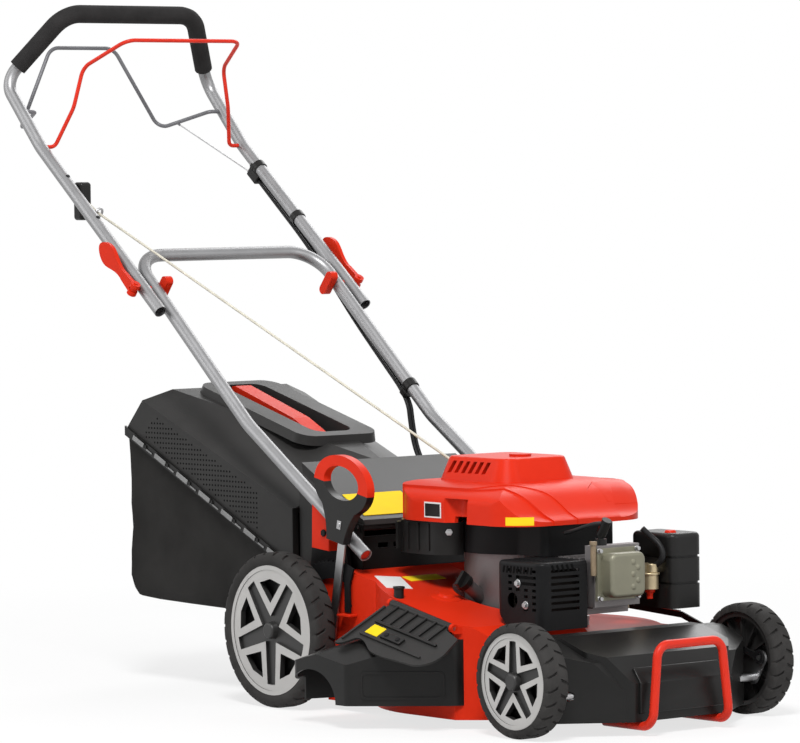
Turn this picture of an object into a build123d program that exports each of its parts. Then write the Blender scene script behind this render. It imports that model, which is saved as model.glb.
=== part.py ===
from build123d import *
import os
from math import cos, radians, sin, tan

# Petrol rotary lawn mower with a rear grass bag and a side discharge chute.
# Millimetres. +X is forwards, +Y the operator's left, +Z up.
# The origin is on the ground, midway between the axles, in the middle plane.

os.makedirs("parts", exist_ok=True)

# Lengths: the rear pieces are placed from the rear axle, the front ones from the front axle
WHEELBASE = 604
REAR_WHEEL_D = 254
FRONT_WHEEL_D = 178
WHEEL_W = 44
RIM_SHARE = 0.835
FRONT_X = WHEELBASE / 2
REAR_X = -WHEELBASE / 2

# Gaps between pieces
RUNNING = 0.08
GAP = 0.4
LOOSE = 1.0

# Widths: the bag lies between the handle legs, the handle and the tunnel between the rear wheels
BAG_HALF_W = 176
TUBE_D = 22
TUBE_R = TUBE_D / 2
ARM_T = 4
LINK_T = 3
LOWER_HALF_W = BAG_HALF_W + 20
UPPER_HALF_W = LOWER_HALF_W + TUBE_D + 2
TUNNEL_HALF_W = BAG_HALF_W + 24
REAR_ARM_Y = TUNNEL_HALF_W + 14.5
REAR_OUT_Y = REAR_ARM_Y + WHEEL_W + 5.5
LINK_Y = TUNNEL_HALF_W + 3
FRONT_ARM_Y = LINK_Y + 5
FRONT_OUT_Y = FRONT_ARM_Y + WHEEL_W + 6

# Height adjustment: the wheels swing on arms that pivot on the deck
HEIGHT_TRAVEL = 50
REAR_PIVOT = (REAR_X + 96, REAR_WHEEL_D / 2 - HEIGHT_TRAVEL / 2)
FRONT_PIVOT = (FRONT_X + 43, FRONT_WHEEL_D / 2 - HEIGHT_TRAVEL / 2)
REAR_AXLE_R = 7
FRONT_AXLE_R = 6
STUB_R = 6
REAR_LINK_ARM = 74
FRONT_LINK_ARM = 37
LINK_SHIFT = 18.6

# Deck
BLADE_X = 25
DECK_R = 236
DECK_WALL = 2
DECK_BOTTOM = 15
PAN_TOP = 140
TUNNEL_TOP = 228
TUNNEL_REAR_X = REAR_X - 36
PAN_REAR_X = REAR_X + 74
RAMP_FRONT = (BLADE_X + 160, 160)
RAMP_REAR_X = REAR_X + 137
APRON_X = FRONT_X - 32
APRON_HALF_W = FRONT_ARM_Y - 18
SHOULDER_X = BLADE_X + 155
DECK_ROUND = 20
ENGINE_PAD_R = 112

# Blade
BLADE_LENGTH = 450
BLADE_Z = 34
SHAFT_R = 12.5

# Handle
FOLD = (REAR_X - 396, 678.7)
LOWER_FOOT = (REAR_X + 172, 255)
LOWER_BEND = (REAR_X - 138, 455)
CROSSBAR = (REAR_X - 460, 733)
UPPER_FOOT = (REAR_X - 348, 640)
UPPER_BEND = (REAR_X - 698, 922)
UPPER_CORNER = (REAR_X - 806, 1038)
GRIP = (REAR_X - 732, 1156)
GRIP_HALF_W = UPPER_HALF_W - 80
FOAM_D = 32

# Bails
BAIL_R = 3.5
RED_PIVOT = UPPER_BEND
GREY_PIVOT = (UPPER_BEND[0] - 58, UPPER_BEND[1] + 62.3)

# Bag
BAG_FRONT_X = TUNNEL_REAR_X - 9
BAG_LENGTH = 465
BAG_REAR_X = BAG_FRONT_X - BAG_LENGTH
BAG_WALL = 3


def keep(piece, name):
    """Label a finished piece and write it out."""
    piece.part.label = name
    export_step(piece.part, f"parts/{name}.step")


def slab(x, y, z, mode=Mode.ADD):
    """A box between pairs of coordinates, in the part being built."""
    with Locations(((x[0] + x[1]) / 2, (y[0] + y[1]) / 2, (z[0] + z[1]) / 2)):
        Box(x[1] - x[0], y[1] - y[0], z[1] - z[0], mode=mode)


def rod(start, end, radius, mode=Mode.ADD):
    """A round bar between two points, in the part being built."""
    axis = Vector(*end) - Vector(*start)
    with BuildSketch(Plane(origin=start, z_dir=axis)) as section:
        Circle(radius)
    extrude(section.sketch, amount=axis.length, mode=mode)


def bent(points, radii, outer, inner=0):
    """A round tube or rod along straight runs and tangent arcs, in the part being built."""
    with BuildLine() as path:
        FilletPolyline(*points, radius=radii)
    with BuildSketch(Plane(origin=path.line @ 0, z_dir=path.line % 0)) as section:
        Circle(outer)
        if inner:
            Circle(inner, mode=Mode.SUBTRACT)
    sweep(section.sketch, path=path.line)


def plate(outline, y, mode=Mode.ADD):
    """A plate with a side-view outline of (x, z) points, between two Y values, in the part being built."""
    with BuildSketch(Plane(origin=(0, y[1], 0), x_dir=(1, 0, 0), z_dir=(0, -1, 0))) as section:
        with BuildLine():
            Polyline(*outline, close=True)
        make_face()
    extrude(section.sketch, amount=y[1] - y[0], mode=mode)


def linked(points, radius, y, mode=Mode.ADD):
    """A flat lever that wraps round side-view points, between two Y values, in the part being built."""
    with BuildSketch(Plane(origin=(0, y[1], 0), x_dir=(1, 0, 0), z_dir=(0, -1, 0))) as section:
        for point in points:
            with Locations(point):
                Circle(radius)
        if len(points) > 1:
            make_hull()
    extrude(section.sketch, amount=y[1] - y[0], mode=mode)


def behind(points):
    """Side-view points measured from the rear axle."""
    return [(REAR_X + x, z) for x, z in points]


def across(side, near, far):
    """The lower and higher Y of a piece on one side, between two distances from the middle plane."""
    return sorted((side * near, side * far))


def mirrored(half):
    """Points of a path on the right, followed by their mirror images on the left."""
    return half + [(x, -y, z) for x, y, z in reversed(half)]


def cord_radii(points):
    """The largest arc at each corner of a route that its two runs leave room for."""
    radii = []
    for before, here, after in zip(points, points[1:], points[2:]):
        arriving = Vector(*here) - Vector(*before)
        leaving = Vector(*after) - Vector(*here)
        half_turn = radians(arriving.get_angle(leaving) / 2)
        radii.append(0.45 * min(arriving.length, leaving.length) / tan(half_turn))
    return radii


# Deck: a round pan, a ramp that rises to the rear on the right, and the tunnel to the bag

def deck_plan(t):
    """The deck's outline from above, inset by t: the blade circle, a square right shoulder, front and rear."""
    side = DECK_R - t
    with BuildSketch() as plan:
        with Locations((BLADE_X, 0)):
            Circle(side)
        with BuildLine():
            Polyline(
                (BLADE_X, 0),
                (BLADE_X, -side),
                (SHOULDER_X - 40, -side),
                (SHOULDER_X - t, 40 - side),
                (SHOULDER_X - t, 0),
                close=True,
            )
        make_face()
        with Locations(((PAN_REAR_X + t + APRON_X - t) / 2, 0)):
            Rectangle(APRON_X - PAN_REAR_X - 2 * t, 2 * (APRON_HALF_W - t))
        with Locations(((PAN_REAR_X + t + BLADE_X) / 2, 0)):
            Rectangle(BLADE_X - PAN_REAR_X - t, 2 * (TUNNEL_HALF_W - t))
    return plan.sketch


def deck_solid(t):
    """The deck's outer solids for t = 0, or what a wall of thickness t leaves inside them."""
    low = DECK_BOTTOM - (1 if t else 0)
    rear = TUNNEL_REAR_X - (1 if t else 0)
    with BuildPart() as pan:
        with BuildSketch(Plane.XY.offset(low)):
            add(deck_plan(t))
        extrude(amount=PAN_TOP - t - low)
        fillet(pan.faces().sort_by(Axis.Z)[-1].edges(), DECK_ROUND - t)
    with BuildPart() as ramp:
        with BuildSketch(Plane.XY.offset(90)):
            add(deck_plan(t))
            with Locations((0, -200 - t)):
                Rectangle(900, 400, mode=Mode.INTERSECT)
            with Locations((BLADE_X, 0)):
                Circle(ENGINE_PAD_R + t, mode=Mode.SUBTRACT)
        extrude(amount=200)
        with BuildSketch(Plane.XZ):
            with BuildLine():
                Polyline(
                    (RAMP_FRONT[0], 80),
                    (RAMP_FRONT[0], PAN_TOP - t),
                    (RAMP_FRONT[0] - 25, RAMP_FRONT[1] - t),
                    (RAMP_REAR_X, TUNNEL_TOP - t),
                    (RAMP_REAR_X - 40, TUNNEL_TOP - t),
                    (RAMP_REAR_X - 40, 80),
                    close=True,
                )
            make_face()
        extrude(amount=300, both=True, mode=Mode.INTERSECT)
    with BuildPart() as tunnel:
        with BuildSketch(Plane.XZ):
            with BuildLine():
                Polyline(
                    (rear, TUNNEL_TOP - t),
                    (RAMP_REAR_X - t, TUNNEL_TOP - t),
                    (RAMP_REAR_X + 30 - t, PAN_TOP - 30),
                    (REAR_PIVOT[0] + 10, 92 + t),
                    (rear, 172 + t),
                    close=True,
                )
            make_face()
        extrude(amount=TUNNEL_HALF_W - t, both=True)
        fillet(tunnel.edges().filter_by(Axis.X).group_by(Axis.Z)[-1], DECK_ROUND - t)
    return pan.part, ramp.part, tunnel.part


TAB_Y = APRON_HALF_W - 39
deck_outside = deck_solid(0)
deck_inside = deck_solid(DECK_WALL)

# The side flap hangs from a hinge that follows the ramp; its own plane is measured along the hinge,
# rearwards from the front lug, and outwards.
HINGE_FRONT = (BLADE_X + 125, -DECK_R - 8, 159)
HINGE_REAR = (BLADE_X - 35, -DECK_R - 8, 190)
HINGE_ROD_R = 3
LUG_R = 7
LUG_T = 6
LUG_REACH = 25
flap_along = Vector(*HINGE_REAR) - Vector(*HINGE_FRONT)
FLAP_LENGTH = flap_along.length
flap_plane = Plane(origin=HINGE_FRONT, x_dir=flap_along, z_dir=flap_along.cross(Vector(0, -0.86, -0.5)))

with BuildPart() as deck_shell:
    for body in deck_outside:
        add(body)
    for body in deck_inside:
        add(body, mode=Mode.SUBTRACT)
    rod((BLADE_X, 0, PAN_TOP - 10), (BLADE_X, 0, PAN_TOP + 10), 46, mode=Mode.SUBTRACT)
    # side discharge window
    slab((BLADE_X - 70, BLADE_X + 95), (-DECK_R - 24, -DECK_R + 86), (48, 118), mode=Mode.SUBTRACT)
    for end in (0, FLAP_LENGTH - LUG_T):
        # lugs for the side flap's hinge rod
        with BuildSketch(Plane(origin=flap_plane.from_local_coords((end, 0, 0)), z_dir=flap_along)) as lug:
            Circle(LUG_R)
        extrude(lug.sketch, amount=LUG_T)
        corner = flap_plane.from_local_coords((end + LUG_T / 2, 0, 0))
        slab((corner.X - 2, corner.X + 2), (corner.Y, corner.Y + LUG_REACH), (corner.Z - 9, corner.Z + 2))
    rod(HINGE_FRONT, HINGE_REAR, HINGE_ROD_R, mode=Mode.SUBTRACT)
    for side in (-1, 1):
        # stub pins for the rear wheel arms
        rod(
            (REAR_PIVOT[0], side * (TUNNEL_HALF_W - 2), REAR_PIVOT[1]),
            (REAR_PIVOT[0], side * (REAR_ARM_Y + ARM_T / 2), REAR_PIVOT[1]),
            STUB_R,
        )
        # tabs that carry the front pivot rod
        slab((APRON_X - 2, FRONT_PIVOT[0] + 13), (side * TAB_Y - 3, side * TAB_Y + 3), (44, 84))
        rod(
            (FRONT_PIVOT[0], side * TAB_Y - 5, FRONT_PIVOT[1]),
            (FRONT_PIVOT[0], side * TAB_Y + 5, FRONT_PIVOT[1]),
            FRONT_AXLE_R + RUNNING,
            mode=Mode.SUBTRACT,
        )
keep(deck_shell, "deck_shell")

# Front cover: a plastic apron between the front wheels
NOSE_X = FRONT_X + 103
COVER_BACK_X = FRONT_X - 40
COVER_HALF_W = LINK_Y - 5
COVER_TOP = PAN_TOP + 6
COVER_BOTTOM = 22
COVER_WALL = 3
COVER_ROUND = 14
NOSE_HALF_W = 108
BROW_RISE = 4
BUMPER_HALF_W = 80
BUMPER_TOP_HALF_W = 66
BUMPER_R = 7


def cover_layer(plan, side, t):
    """A block with a plan and a side view, its upright corners rounded."""
    with BuildPart() as layer:
        with BuildSketch(Plane.XY):
            with BuildLine():
                Polyline(*plan, *[(x, -y) for x, y in reversed(plan)], close=True)
            make_face()
        extrude(amount=2 * COVER_TOP)
        with BuildSketch(Plane.XZ):
            with BuildLine():
                Polyline(*side, close=True)
            make_face()
        extrude(amount=2 * COVER_HALF_W, both=True, mode=Mode.INTERSECT)
        upright = layer.edges().filter_by(Axis.Z).filter_by(lambda e: e.center().X > FRONT_X)
        fillet(upright, COVER_ROUND - t)
    return layer.part


def front_cover_solid(t):
    """The cover's outside for t = 0, or the hollow behind a wall of thickness t: a low body and a raised brow."""
    back = COVER_BACK_X - (1 if t else 0)
    low = COVER_BOTTOM - (1 if t else 0)
    brow_half = NOSE_HALF_W + 42
    face_x = NOSE_X - 8 - t
    body = cover_layer(
        [(back, COVER_HALF_W - t), (FRONT_X + 33 - t / 2, COVER_HALF_W - t), (face_x, NOSE_HALF_W - t / 2)],
        [
            (back, low),
            (back, COVER_TOP - t),
            (FRONT_X - 17, COVER_TOP - 1 - t),
            (NOSE_X - 36 - t, COVER_TOP - 32 - t),
            (face_x, COVER_TOP - 78 - t),
            (face_x, low),
        ],
        t,
    )
    brow = cover_layer(
        [(back, brow_half - t), (FRONT_X + 48 - t / 2, brow_half - t), (NOSE_X - t, NOSE_HALF_W - 8 - t / 2)],
        [
            (back, low),
            (back, COVER_TOP + BROW_RISE - t),
            (FRONT_X - 12, COVER_TOP + BROW_RISE - 1 - t),
            (NOSE_X - 30 - t, COVER_TOP - 24 - t),
            (NOSE_X - t, COVER_TOP - 64 - t),
            (NOSE_X - t, low),
        ],
        t,
    )
    return body, brow


cover_outside = front_cover_solid(0)
cover_inside = front_cover_solid(COVER_WALL)
with BuildPart() as front_cover:
    for layer in cover_outside:
        add(layer)
    for layer in cover_inside:
        add(layer, mode=Mode.SUBTRACT)
    # shallow panel in the nose
    slab((NOSE_X - 1.5, NOSE_X + 1), (20 - NOSE_HALF_W, NOSE_HALF_W - 20), (COVER_BOTTOM + 14, 78), mode=Mode.SUBTRACT)
    for side in (-1, 1):
        middle = side * BUMPER_HALF_W
        slab((FRONT_X + 10, FRONT_X + 34), (middle - 12, middle + 12), (COVER_BOTTOM, COVER_TOP - 13))
    rod(
        (FRONT_PIVOT[0], -COVER_HALF_W - 7, FRONT_PIVOT[1]),
        (FRONT_PIVOT[0], COVER_HALF_W + 7, FRONT_PIVOT[1]),
        FRONT_AXLE_R + 1.5,
        mode=Mode.SUBTRACT,
    )
keep(front_cover, "front_cover")

with BuildPart() as front_bumper:
    foot_z = COVER_BOTTOM - BUMPER_R
    right = [
        (FRONT_X + 14, -BUMPER_HALF_W, foot_z),
        (NOSE_X + 22, -BUMPER_HALF_W, foot_z),
        (NOSE_X + 20, -BUMPER_TOP_HALF_W, COVER_TOP - 6),
    ]
    bent(mirrored(right), 22, BUMPER_R)
keep(front_bumper, "front_bumper")

# Housing over the tunnel, with the hinge of the rear flap
REAR_HINGE = (REAR_X + 120, 297)
CHEEK_Y = (BAG_HALF_W - 9, BAG_HALF_W - 5)
with BuildPart() as deck_rear_cover:
    for side in (-1, 1):
        cheek = behind([(132, TUNNEL_TOP), (132, 300), (110, 304), (-34, 366), (-34, TUNNEL_TOP)])
        plate(cheek, across(side, *CHEEK_Y))
    slab((REAR_X + 128, REAR_X + 132), (-CHEEK_Y[0], CHEEK_Y[0]), (TUNNEL_TOP, 282))
    for n in range(-4, 5):
        # slots in the front strip
        slab((REAR_X + 120, REAR_X + 140), (32 * n - 11, 32 * n + 11), (262, 270), mode=Mode.SUBTRACT)
    rod(
        (REAR_HINGE[0], -CHEEK_Y[1] - 9, REAR_HINGE[1]),
        (REAR_HINGE[0], CHEEK_Y[1] + 9, REAR_HINGE[1]),
        HINGE_ROD_R,
        mode=Mode.SUBTRACT,
    )
keep(deck_rear_cover, "deck_rear_cover")

with BuildPart() as hinge_rods:
    rod(HINGE_FRONT, HINGE_REAR, HINGE_ROD_R)
    rod((REAR_HINGE[0], -CHEEK_Y[1], REAR_HINGE[1]), (REAR_HINGE[0], CHEEK_Y[1], REAR_HINGE[1]), HINGE_ROD_R)
keep(hinge_rods, "hinge_rods")

# Side discharge chute, under the side flap: a hood that opens to the right at its tail
CHUTE_BOTTOM = 38
CHUTE_ROOF_DROP = 9
CHUTE_WALL = 4
CHUTE_TIP = (BLADE_X - 135, -DECK_R - 134, 98)
CHUTE_ELBOW = (BLADE_X + 3, -DECK_R - 128)
CHUTE_FRONT_X = BLADE_X + 125
CHUTE_REAR_X = BLADE_X - 103
tail_plane = Plane(origin=CHUTE_TIP, z_dir=(-0.242, -0.206, 1))


def chute_solid(t):
    """The hood's outside for t = 0, or the way through it inside a wall of thickness t."""
    over = 10 if t else 0
    outline = [
        (CHUTE_FRONT_X - t, -DECK_R + 46 + over),
        (CHUTE_FRONT_X - t, -DECK_R + t / 2),
        (CHUTE_ELBOW[0], CHUTE_ELBOW[1] + 1.4 * t),
        (CHUTE_TIP[0] + 1.2 * t, CHUTE_TIP[1] + t),
        (CHUTE_REAR_X + t, -DECK_R - 26),
        (CHUTE_REAR_X + t, -DECK_R + 46 + over),
    ]
    with BuildPart() as block:
        with BuildSketch(Plane.XY.offset(CHUTE_BOTTOM - over)):
            with BuildLine():
                Polyline(*outline, close=True)
            make_face()
        extrude(amount=165)
        upright = block.edges().filter_by(Axis.Z)
        fillet(upright.sort_by(Axis.Y)[:2], 14 - t)
        fillet(block.edges().filter_by(Axis.Z).group_by(Axis.X)[-1].sort_by(Axis.Y)[:1], 24 - t)
        split(bisect_by=flap_plane.offset(-CHUTE_ROOF_DROP - t), keep=Keep.BOTTOM)
        split(bisect_by=tail_plane.offset(-t), keep=Keep.BOTTOM)
    return block.part


chute_outside = chute_solid(0)
chute_inside = chute_solid(CHUTE_WALL)
chute_wall_run = Vector(CHUTE_ELBOW[0] - CHUTE_FRONT_X, CHUTE_ELBOW[1] + DECK_R, 0)
chute_wall_middle = Vector((CHUTE_ELBOW[0] + CHUTE_FRONT_X) / 2, (CHUTE_ELBOW[1] - DECK_R) / 2, CHUTE_BOTTOM + 32)
with BuildPart() as side_chute:
    add(chute_outside)
    # raised border round the outer wall
    with BuildSketch(Plane(origin=chute_wall_middle, x_dir=chute_wall_run, z_dir=chute_wall_run.cross(Vector(0, 0, -1)))):
        RectangleRounded(chute_wall_run.length - 44, 44, 9)
        RectangleRounded(chute_wall_run.length - 52, 36, 6, mode=Mode.SUBTRACT)
    extrude(amount=2, both=True)
    add(chute_inside, mode=Mode.SUBTRACT)
    # arched mouth at the tail
    with BuildSketch(Plane(origin=(CHUTE_TIP[0] + 52, CHUTE_TIP[1] - 30, CHUTE_BOTTOM), x_dir=(1, 0, 0), z_dir=(0, -1, 0))):
        Ellipse(60, 52)
    extrude(amount=-55, mode=Mode.SUBTRACT)
    with BuildSketch():
        add(deck_plan(0))
    extrude(amount=300, mode=Mode.SUBTRACT)
    for end in (0, FLAP_LENGTH - LUG_T):
        # notches round the hinge lugs
        corner = flap_plane.from_local_coords((end + LUG_T / 2, 0, 0))
        slab(
            (corner.X - 5, corner.X + 5),
            (corner.Y - 9, corner.Y + 54),
            (corner.Z - 18, corner.Z + 20),
            mode=Mode.SUBTRACT,
        )
keep(side_chute, "side_chute")

# Side flap: a ribbed plate on a hinge barrel, wavy along its free edge
FLAP_T = 3.5
FLAP_RIB = 5
FLAP_REACH = 104
flap_start = LUG_T + LOOSE
flap_end = FLAP_LENGTH - LUG_T - LOOSE
with BuildPart() as side_flap:
    with BuildSketch(flap_plane.offset(-FLAP_T / 2)):
        with BuildLine():
            Polyline((flap_start, 10), (flap_start, 0), (flap_end, 0), (flap_end, 10), (flap_end + 6, 14), (flap_end + 8, FLAP_REACH + 13))
            Spline(
                (flap_end + 8, FLAP_REACH + 13), (flap_end - 6, FLAP_REACH + 8), (flap_end - 20, FLAP_REACH - 11),
                (flap_end - 38, FLAP_REACH - 11), (flap_end - 62, FLAP_REACH), (40, FLAP_REACH + 2), (-8, FLAP_REACH - 4),
            )
            ThreePointArc((-8, FLAP_REACH - 4), (-34, FLAP_REACH - 20), (-40, FLAP_REACH - 50))
            Polyline((-40, FLAP_REACH - 50), (-30, 18), (flap_start, 10))
        make_face()
    extrude(amount=FLAP_T)
    with BuildSketch(Plane(origin=flap_plane.from_local_coords((flap_start, 0, 0)), z_dir=flap_along)):
        Circle(LUG_R - 0.5)
    extrude(amount=flap_end - flap_start)
    with BuildSketch(flap_plane):
        for n in range(6):
            with Locations((14 + 24 * n, 26)):
                Rectangle(3, 40)
        with Locations((64, 48), (64, FLAP_REACH - 22)):
            Rectangle(150, 4)
        with Locations((flap_end + 1, 60)):
            Rectangle(4, 92)
        with Locations((74, FLAP_REACH - 36)):
            RectangleRounded(46, 12, 4)
    extrude(amount=FLAP_RIB)
    rod(HINGE_FRONT, HINGE_REAR, HINGE_ROD_R + RUNNING, mode=Mode.SUBTRACT)
keep(side_flap, "side_flap")

# Rear flap, resting above the mouth of the bag
FLAP_HALF_W = CHEEK_Y[0] - 3
with BuildPart() as rear_flap:
    plate(
        behind([(130, 300), (126, 308), (116, 313), (-36, 395), (-36, 388), (102, 313), (112, 303)]),
        (-FLAP_HALF_W, FLAP_HALF_W),
    )
    rod((REAR_HINGE[0], -FLAP_HALF_W, REAR_HINGE[1]), (REAR_HINGE[0], FLAP_HALF_W, REAR_HINGE[1]), 7.5)
    for side in (-1, 1):
        skirt = behind([(102, 318), (-34, 391), (-34, 378), (97, 308)])
        plate(skirt, across(side, FLAP_HALF_W - 3, FLAP_HALF_W))
    rod(
        (REAR_HINGE[0], -FLAP_HALF_W - 1, REAR_HINGE[1]),
        (REAR_HINGE[0], FLAP_HALF_W + 1, REAR_HINGE[1]),
        HINGE_ROD_R + RUNNING,
        mode=Mode.SUBTRACT,
    )
keep(rear_flap, "rear_flap")

# Engine: a vertical-shaft single cylinder, head to the front, silencer on the right, carburettor on the left
CASE_R = 92
CASE_TOP = 262
BORE_R = 30
BLOWER_TOP = 312
with BuildPart() as engine_block:
    with BuildSketch(Plane.XY.offset(PAN_TOP)):
        with Locations((BLADE_X, 0)):
            Circle(ENGINE_PAD_R - 4)
    extrude(amount=10)
    with BuildSketch(Plane.XY.offset(PAN_TOP + 10)):
        with Locations((BLADE_X, 0)):
            Circle(CASE_R)
    extrude(amount=CASE_TOP - PAN_TOP - 10)
    # cylinder with cooling fins, and the head
    slab((100, 240), (-36, 36), (182, 258))
    for n in range(9):
        slab((126 + 12 * n, 130 + 12 * n), (-50, 50), (172, 262))
    slab((236, 258), (-48, 46), (186, 282))
    # oil filler neck on the right of the case
    rod((BLADE_X + 3, -70, 176), (BLADE_X + 3, -118, 214), 11)
    # crank chamber and cylinder bore
    rod((BLADE_X, 0, PAN_TOP + 16), (BLADE_X, 0, CASE_TOP - 8), CASE_R - 8, mode=Mode.SUBTRACT)
    rod((BLADE_X + 60, 0, 220), (232, 0, 220), BORE_R, mode=Mode.SUBTRACT)
    rod((BLADE_X, 0, PAN_TOP - 1), (BLADE_X, 0, CASE_TOP + 1), SHAFT_R + RUNNING, mode=Mode.SUBTRACT)
keep(engine_block, "engine_block")

with BuildPart() as oil_cap:
    with BuildSketch(Plane(origin=(BLADE_X + 3, -118, 214), z_dir=(0, -48, 38))):
        Circle(14)
    extrude(amount=9)
    with BuildSketch(Plane(origin=(BLADE_X + 3, -118, 214), z_dir=(0, -48, 38)).offset(9)):
        Rectangle(26, 7)
    extrude(amount=9)
keep(oil_cap, "oil_cap")

BLOWER_R = 104
with BuildPart() as blower_housing:
    with BuildSketch(Plane.XY.offset(CASE_TOP)):
        with Locations((BLADE_X + 10, 0)):
            Circle(BLOWER_R)
        with Locations((BLADE_X + 70, 0)):
            Rectangle(150, 150)
    extrude(amount=BLOWER_TOP - CASE_TOP)
    fillet(blower_housing.edges().filter_by(Axis.Z), 12)
    with BuildSketch(Plane.XY.offset(CASE_TOP + 4)):
        with Locations((BLADE_X + 10, 0)):
            Circle(BLOWER_R - 4)
        with Locations((BLADE_X + 70, 0)):
            Rectangle(142, 142)
    extrude(amount=100, mode=Mode.SUBTRACT)
    rod((BLADE_X, 0, CASE_TOP - 1), (BLADE_X, 0, CASE_TOP + 6), SHAFT_R + LOOSE, mode=Mode.SUBTRACT)
    slab((231, 262), (-60, 60), (CASE_TOP - 2, 284), mode=Mode.SUBTRACT)
keep(blower_housing, "blower_housing")


HAT_TOP = 412
DOME_TOP = 375
DOME_LENGTH = 330
DOME_HALF_W = 149
DOME_WALL = 6
FLUTE_X = BLADE_X + 12
FLUTE_R = 32


def cover_dome(t):
    """The engine cover's shell for t = 0, or the space under a wall of thickness t: plan, side and front views."""
    low = BLOWER_TOP - (1 if t else 0)
    rear = BLADE_X - DOME_LENGTH / 2 + t
    front = BLADE_X + DOME_LENGTH / 2 - t
    top = DOME_TOP - t
    half = DOME_HALF_W - t
    with BuildPart() as dome:
        with BuildSketch(Plane.XY.offset(low)):
            with Locations((BLADE_X, 0)):
                RectangleRounded(DOME_LENGTH - 2 * t, 2 * half, 72 - t)
        extrude(amount=DOME_TOP)
        with BuildSketch(Plane.XZ):
            with BuildLine():
                Polyline((front + 4, low), (rear, low), (rear, top - 26))
                ThreePointArc((rear, top - 26), (rear + 9, top - 9), (rear + 34, top - 2))
                Line((rear + 34, top - 2), (front - 104, top))
                Spline(
                    (front - 104, top), (front - 48, top - 17), (front - 8, top - 50), (front + 4, low),
                    tangents=((1, 0), (0.1, -1)),
                )
            make_face()
        extrude(amount=2 * half, both=True, mode=Mode.INTERSECT)
        with BuildSketch(Plane.YZ):
            with BuildLine():
                Polyline((half, top - 30), (half, low), (-half, low), (-half, top - 30))
                Spline(
                    (-half, top - 30), (10 - half, top - 14), (-70, top - 1), (0, top), (70, top - 1), (half - 10, top - 14),
                    (half, top - 30), tangents=((0, 1), (0, -1)),
                )
            make_face()
        extrude(amount=DOME_LENGTH, both=True, mode=Mode.INTERSECT)
    with BuildPart() as hat:
        foot = DOME_TOP - 6 - t
        with BuildSketch(Plane.XY.offset(foot)):
            with Locations((BLADE_X - 33, 0)):
                RectangleRounded(188 - 2 * t, 170 - 2 * t, 40)
        extrude(amount=HAT_TOP - t - foot, taper=22)
    return dome.part, hat.part


def swoosh(side, line):
    """A prism over the part of the cover's plan that lies outside a curved ridge line."""
    start, end = line[0], line[-1]
    with BuildPart() as prism:
        with BuildSketch(Plane.XY.offset(BLOWER_TOP - 2)):
            with BuildLine():
                Spline(*[(x, side * y) for x, y in line])
                Polyline(
                    (end[0], side * end[1]),
                    (end[0] + 40, side * end[1]),
                    (end[0] + 40, side * (DOME_HALF_W + 20)),
                    (start[0], side * (DOME_HALF_W + 20)),
                    (start[0], side * start[1]),
                )
            make_face()
        extrude(amount=DOME_TOP)
    return prism.part


RIDGE = [(-150, 127), (-80, 126), (0, 126), (60, 124), (110, 112), (148, 88), (176, 74), (206, 67)]
BAND = [(40, 127), (92, 100), (120, 68), (140, 42), (168, 27), (206, 19)]
shells = [cover_dome(t) for t in (0, 1.2, 3.2, DOME_WALL)]
FILLER_X = -86
FILLER_Y = 86
flute = ((FLUTE_X, -DOME_HALF_W - 14, BLOWER_TOP - 2), (FLUTE_X, -DOME_HALF_W - 8, DOME_TOP - 22))
with BuildPart() as cover_hollow:
    for body in shells[-1]:
        add(body)
    rod(*flute, FLUTE_R + DOME_WALL, mode=Mode.SUBTRACT)

with BuildPart() as engine_cover:
    add(shells[0][0])
    for depth, line in ((1, BAND), (2, RIDGE)):
        for side in (-1, 1):
            # the swept panels lie a step lower than the ridge above them
            add(swoosh(side, line) - shells[depth][0], mode=Mode.SUBTRACT)
    add(shells[0][1])
    fillet(engine_cover.faces().sort_by(Axis.Z)[-1].edges(), 6)
    # round boss over the flywheel
    rod((BLADE_X, 0, HAT_TOP - 2), (BLADE_X, 0, HAT_TOP + 4), 18)
    # flute in the right side, over the bracket of the tank
    rod(*flute, FLUTE_R, mode=Mode.SUBTRACT)
    add(cover_hollow.part, mode=Mode.SUBTRACT)
    slab((FLUTE_X - 16, FLUTE_X + 16), (-DOME_HALF_W - 4, -DOME_HALF_W + 40), (300, 322), mode=Mode.SUBTRACT)
    # hole round the fuel filler, mouth for the starter rope, slanted vents in the hat
    rod((FILLER_X, FILLER_Y, 300), (FILLER_X, FILLER_Y, HAT_TOP), 27, mode=Mode.SUBTRACT)
    rod((BLADE_X - 145, -8, 390), (BLADE_X - 85, 0, 372), 6, mode=Mode.SUBTRACT)
    for n in range(6):
        x = BLADE_X - 90 + 17 * n
        plate([(x, 386), (x + 9, 386), (x + 16, 405), (x + 7, 405)], (-100, -55), mode=Mode.SUBTRACT)
keep(engine_cover, "engine_cover")

TANK_WALL = 3


def tank_solid(t):
    """The tank's outside for t = 0, or its inside behind a wall of thickness t: it wraps the blower and the case."""
    with BuildPart() as tank:
        with BuildSketch(Plane.XY.offset(258 + t)):
            with Locations((BLADE_X - 91, 0)):
                RectangleRounded(136 - 2 * t, 280 - 2 * t, 40 - t)
            with Locations((BLADE_X + 10, 0)):
                Circle(BLOWER_R + 2 + t, mode=Mode.SUBTRACT)
            with Locations((BLADE_X, 0)):
                Circle(CASE_R + 2 + t, mode=Mode.SUBTRACT)
        extrude(amount=53 - 2 * t)
    return tank.part


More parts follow.
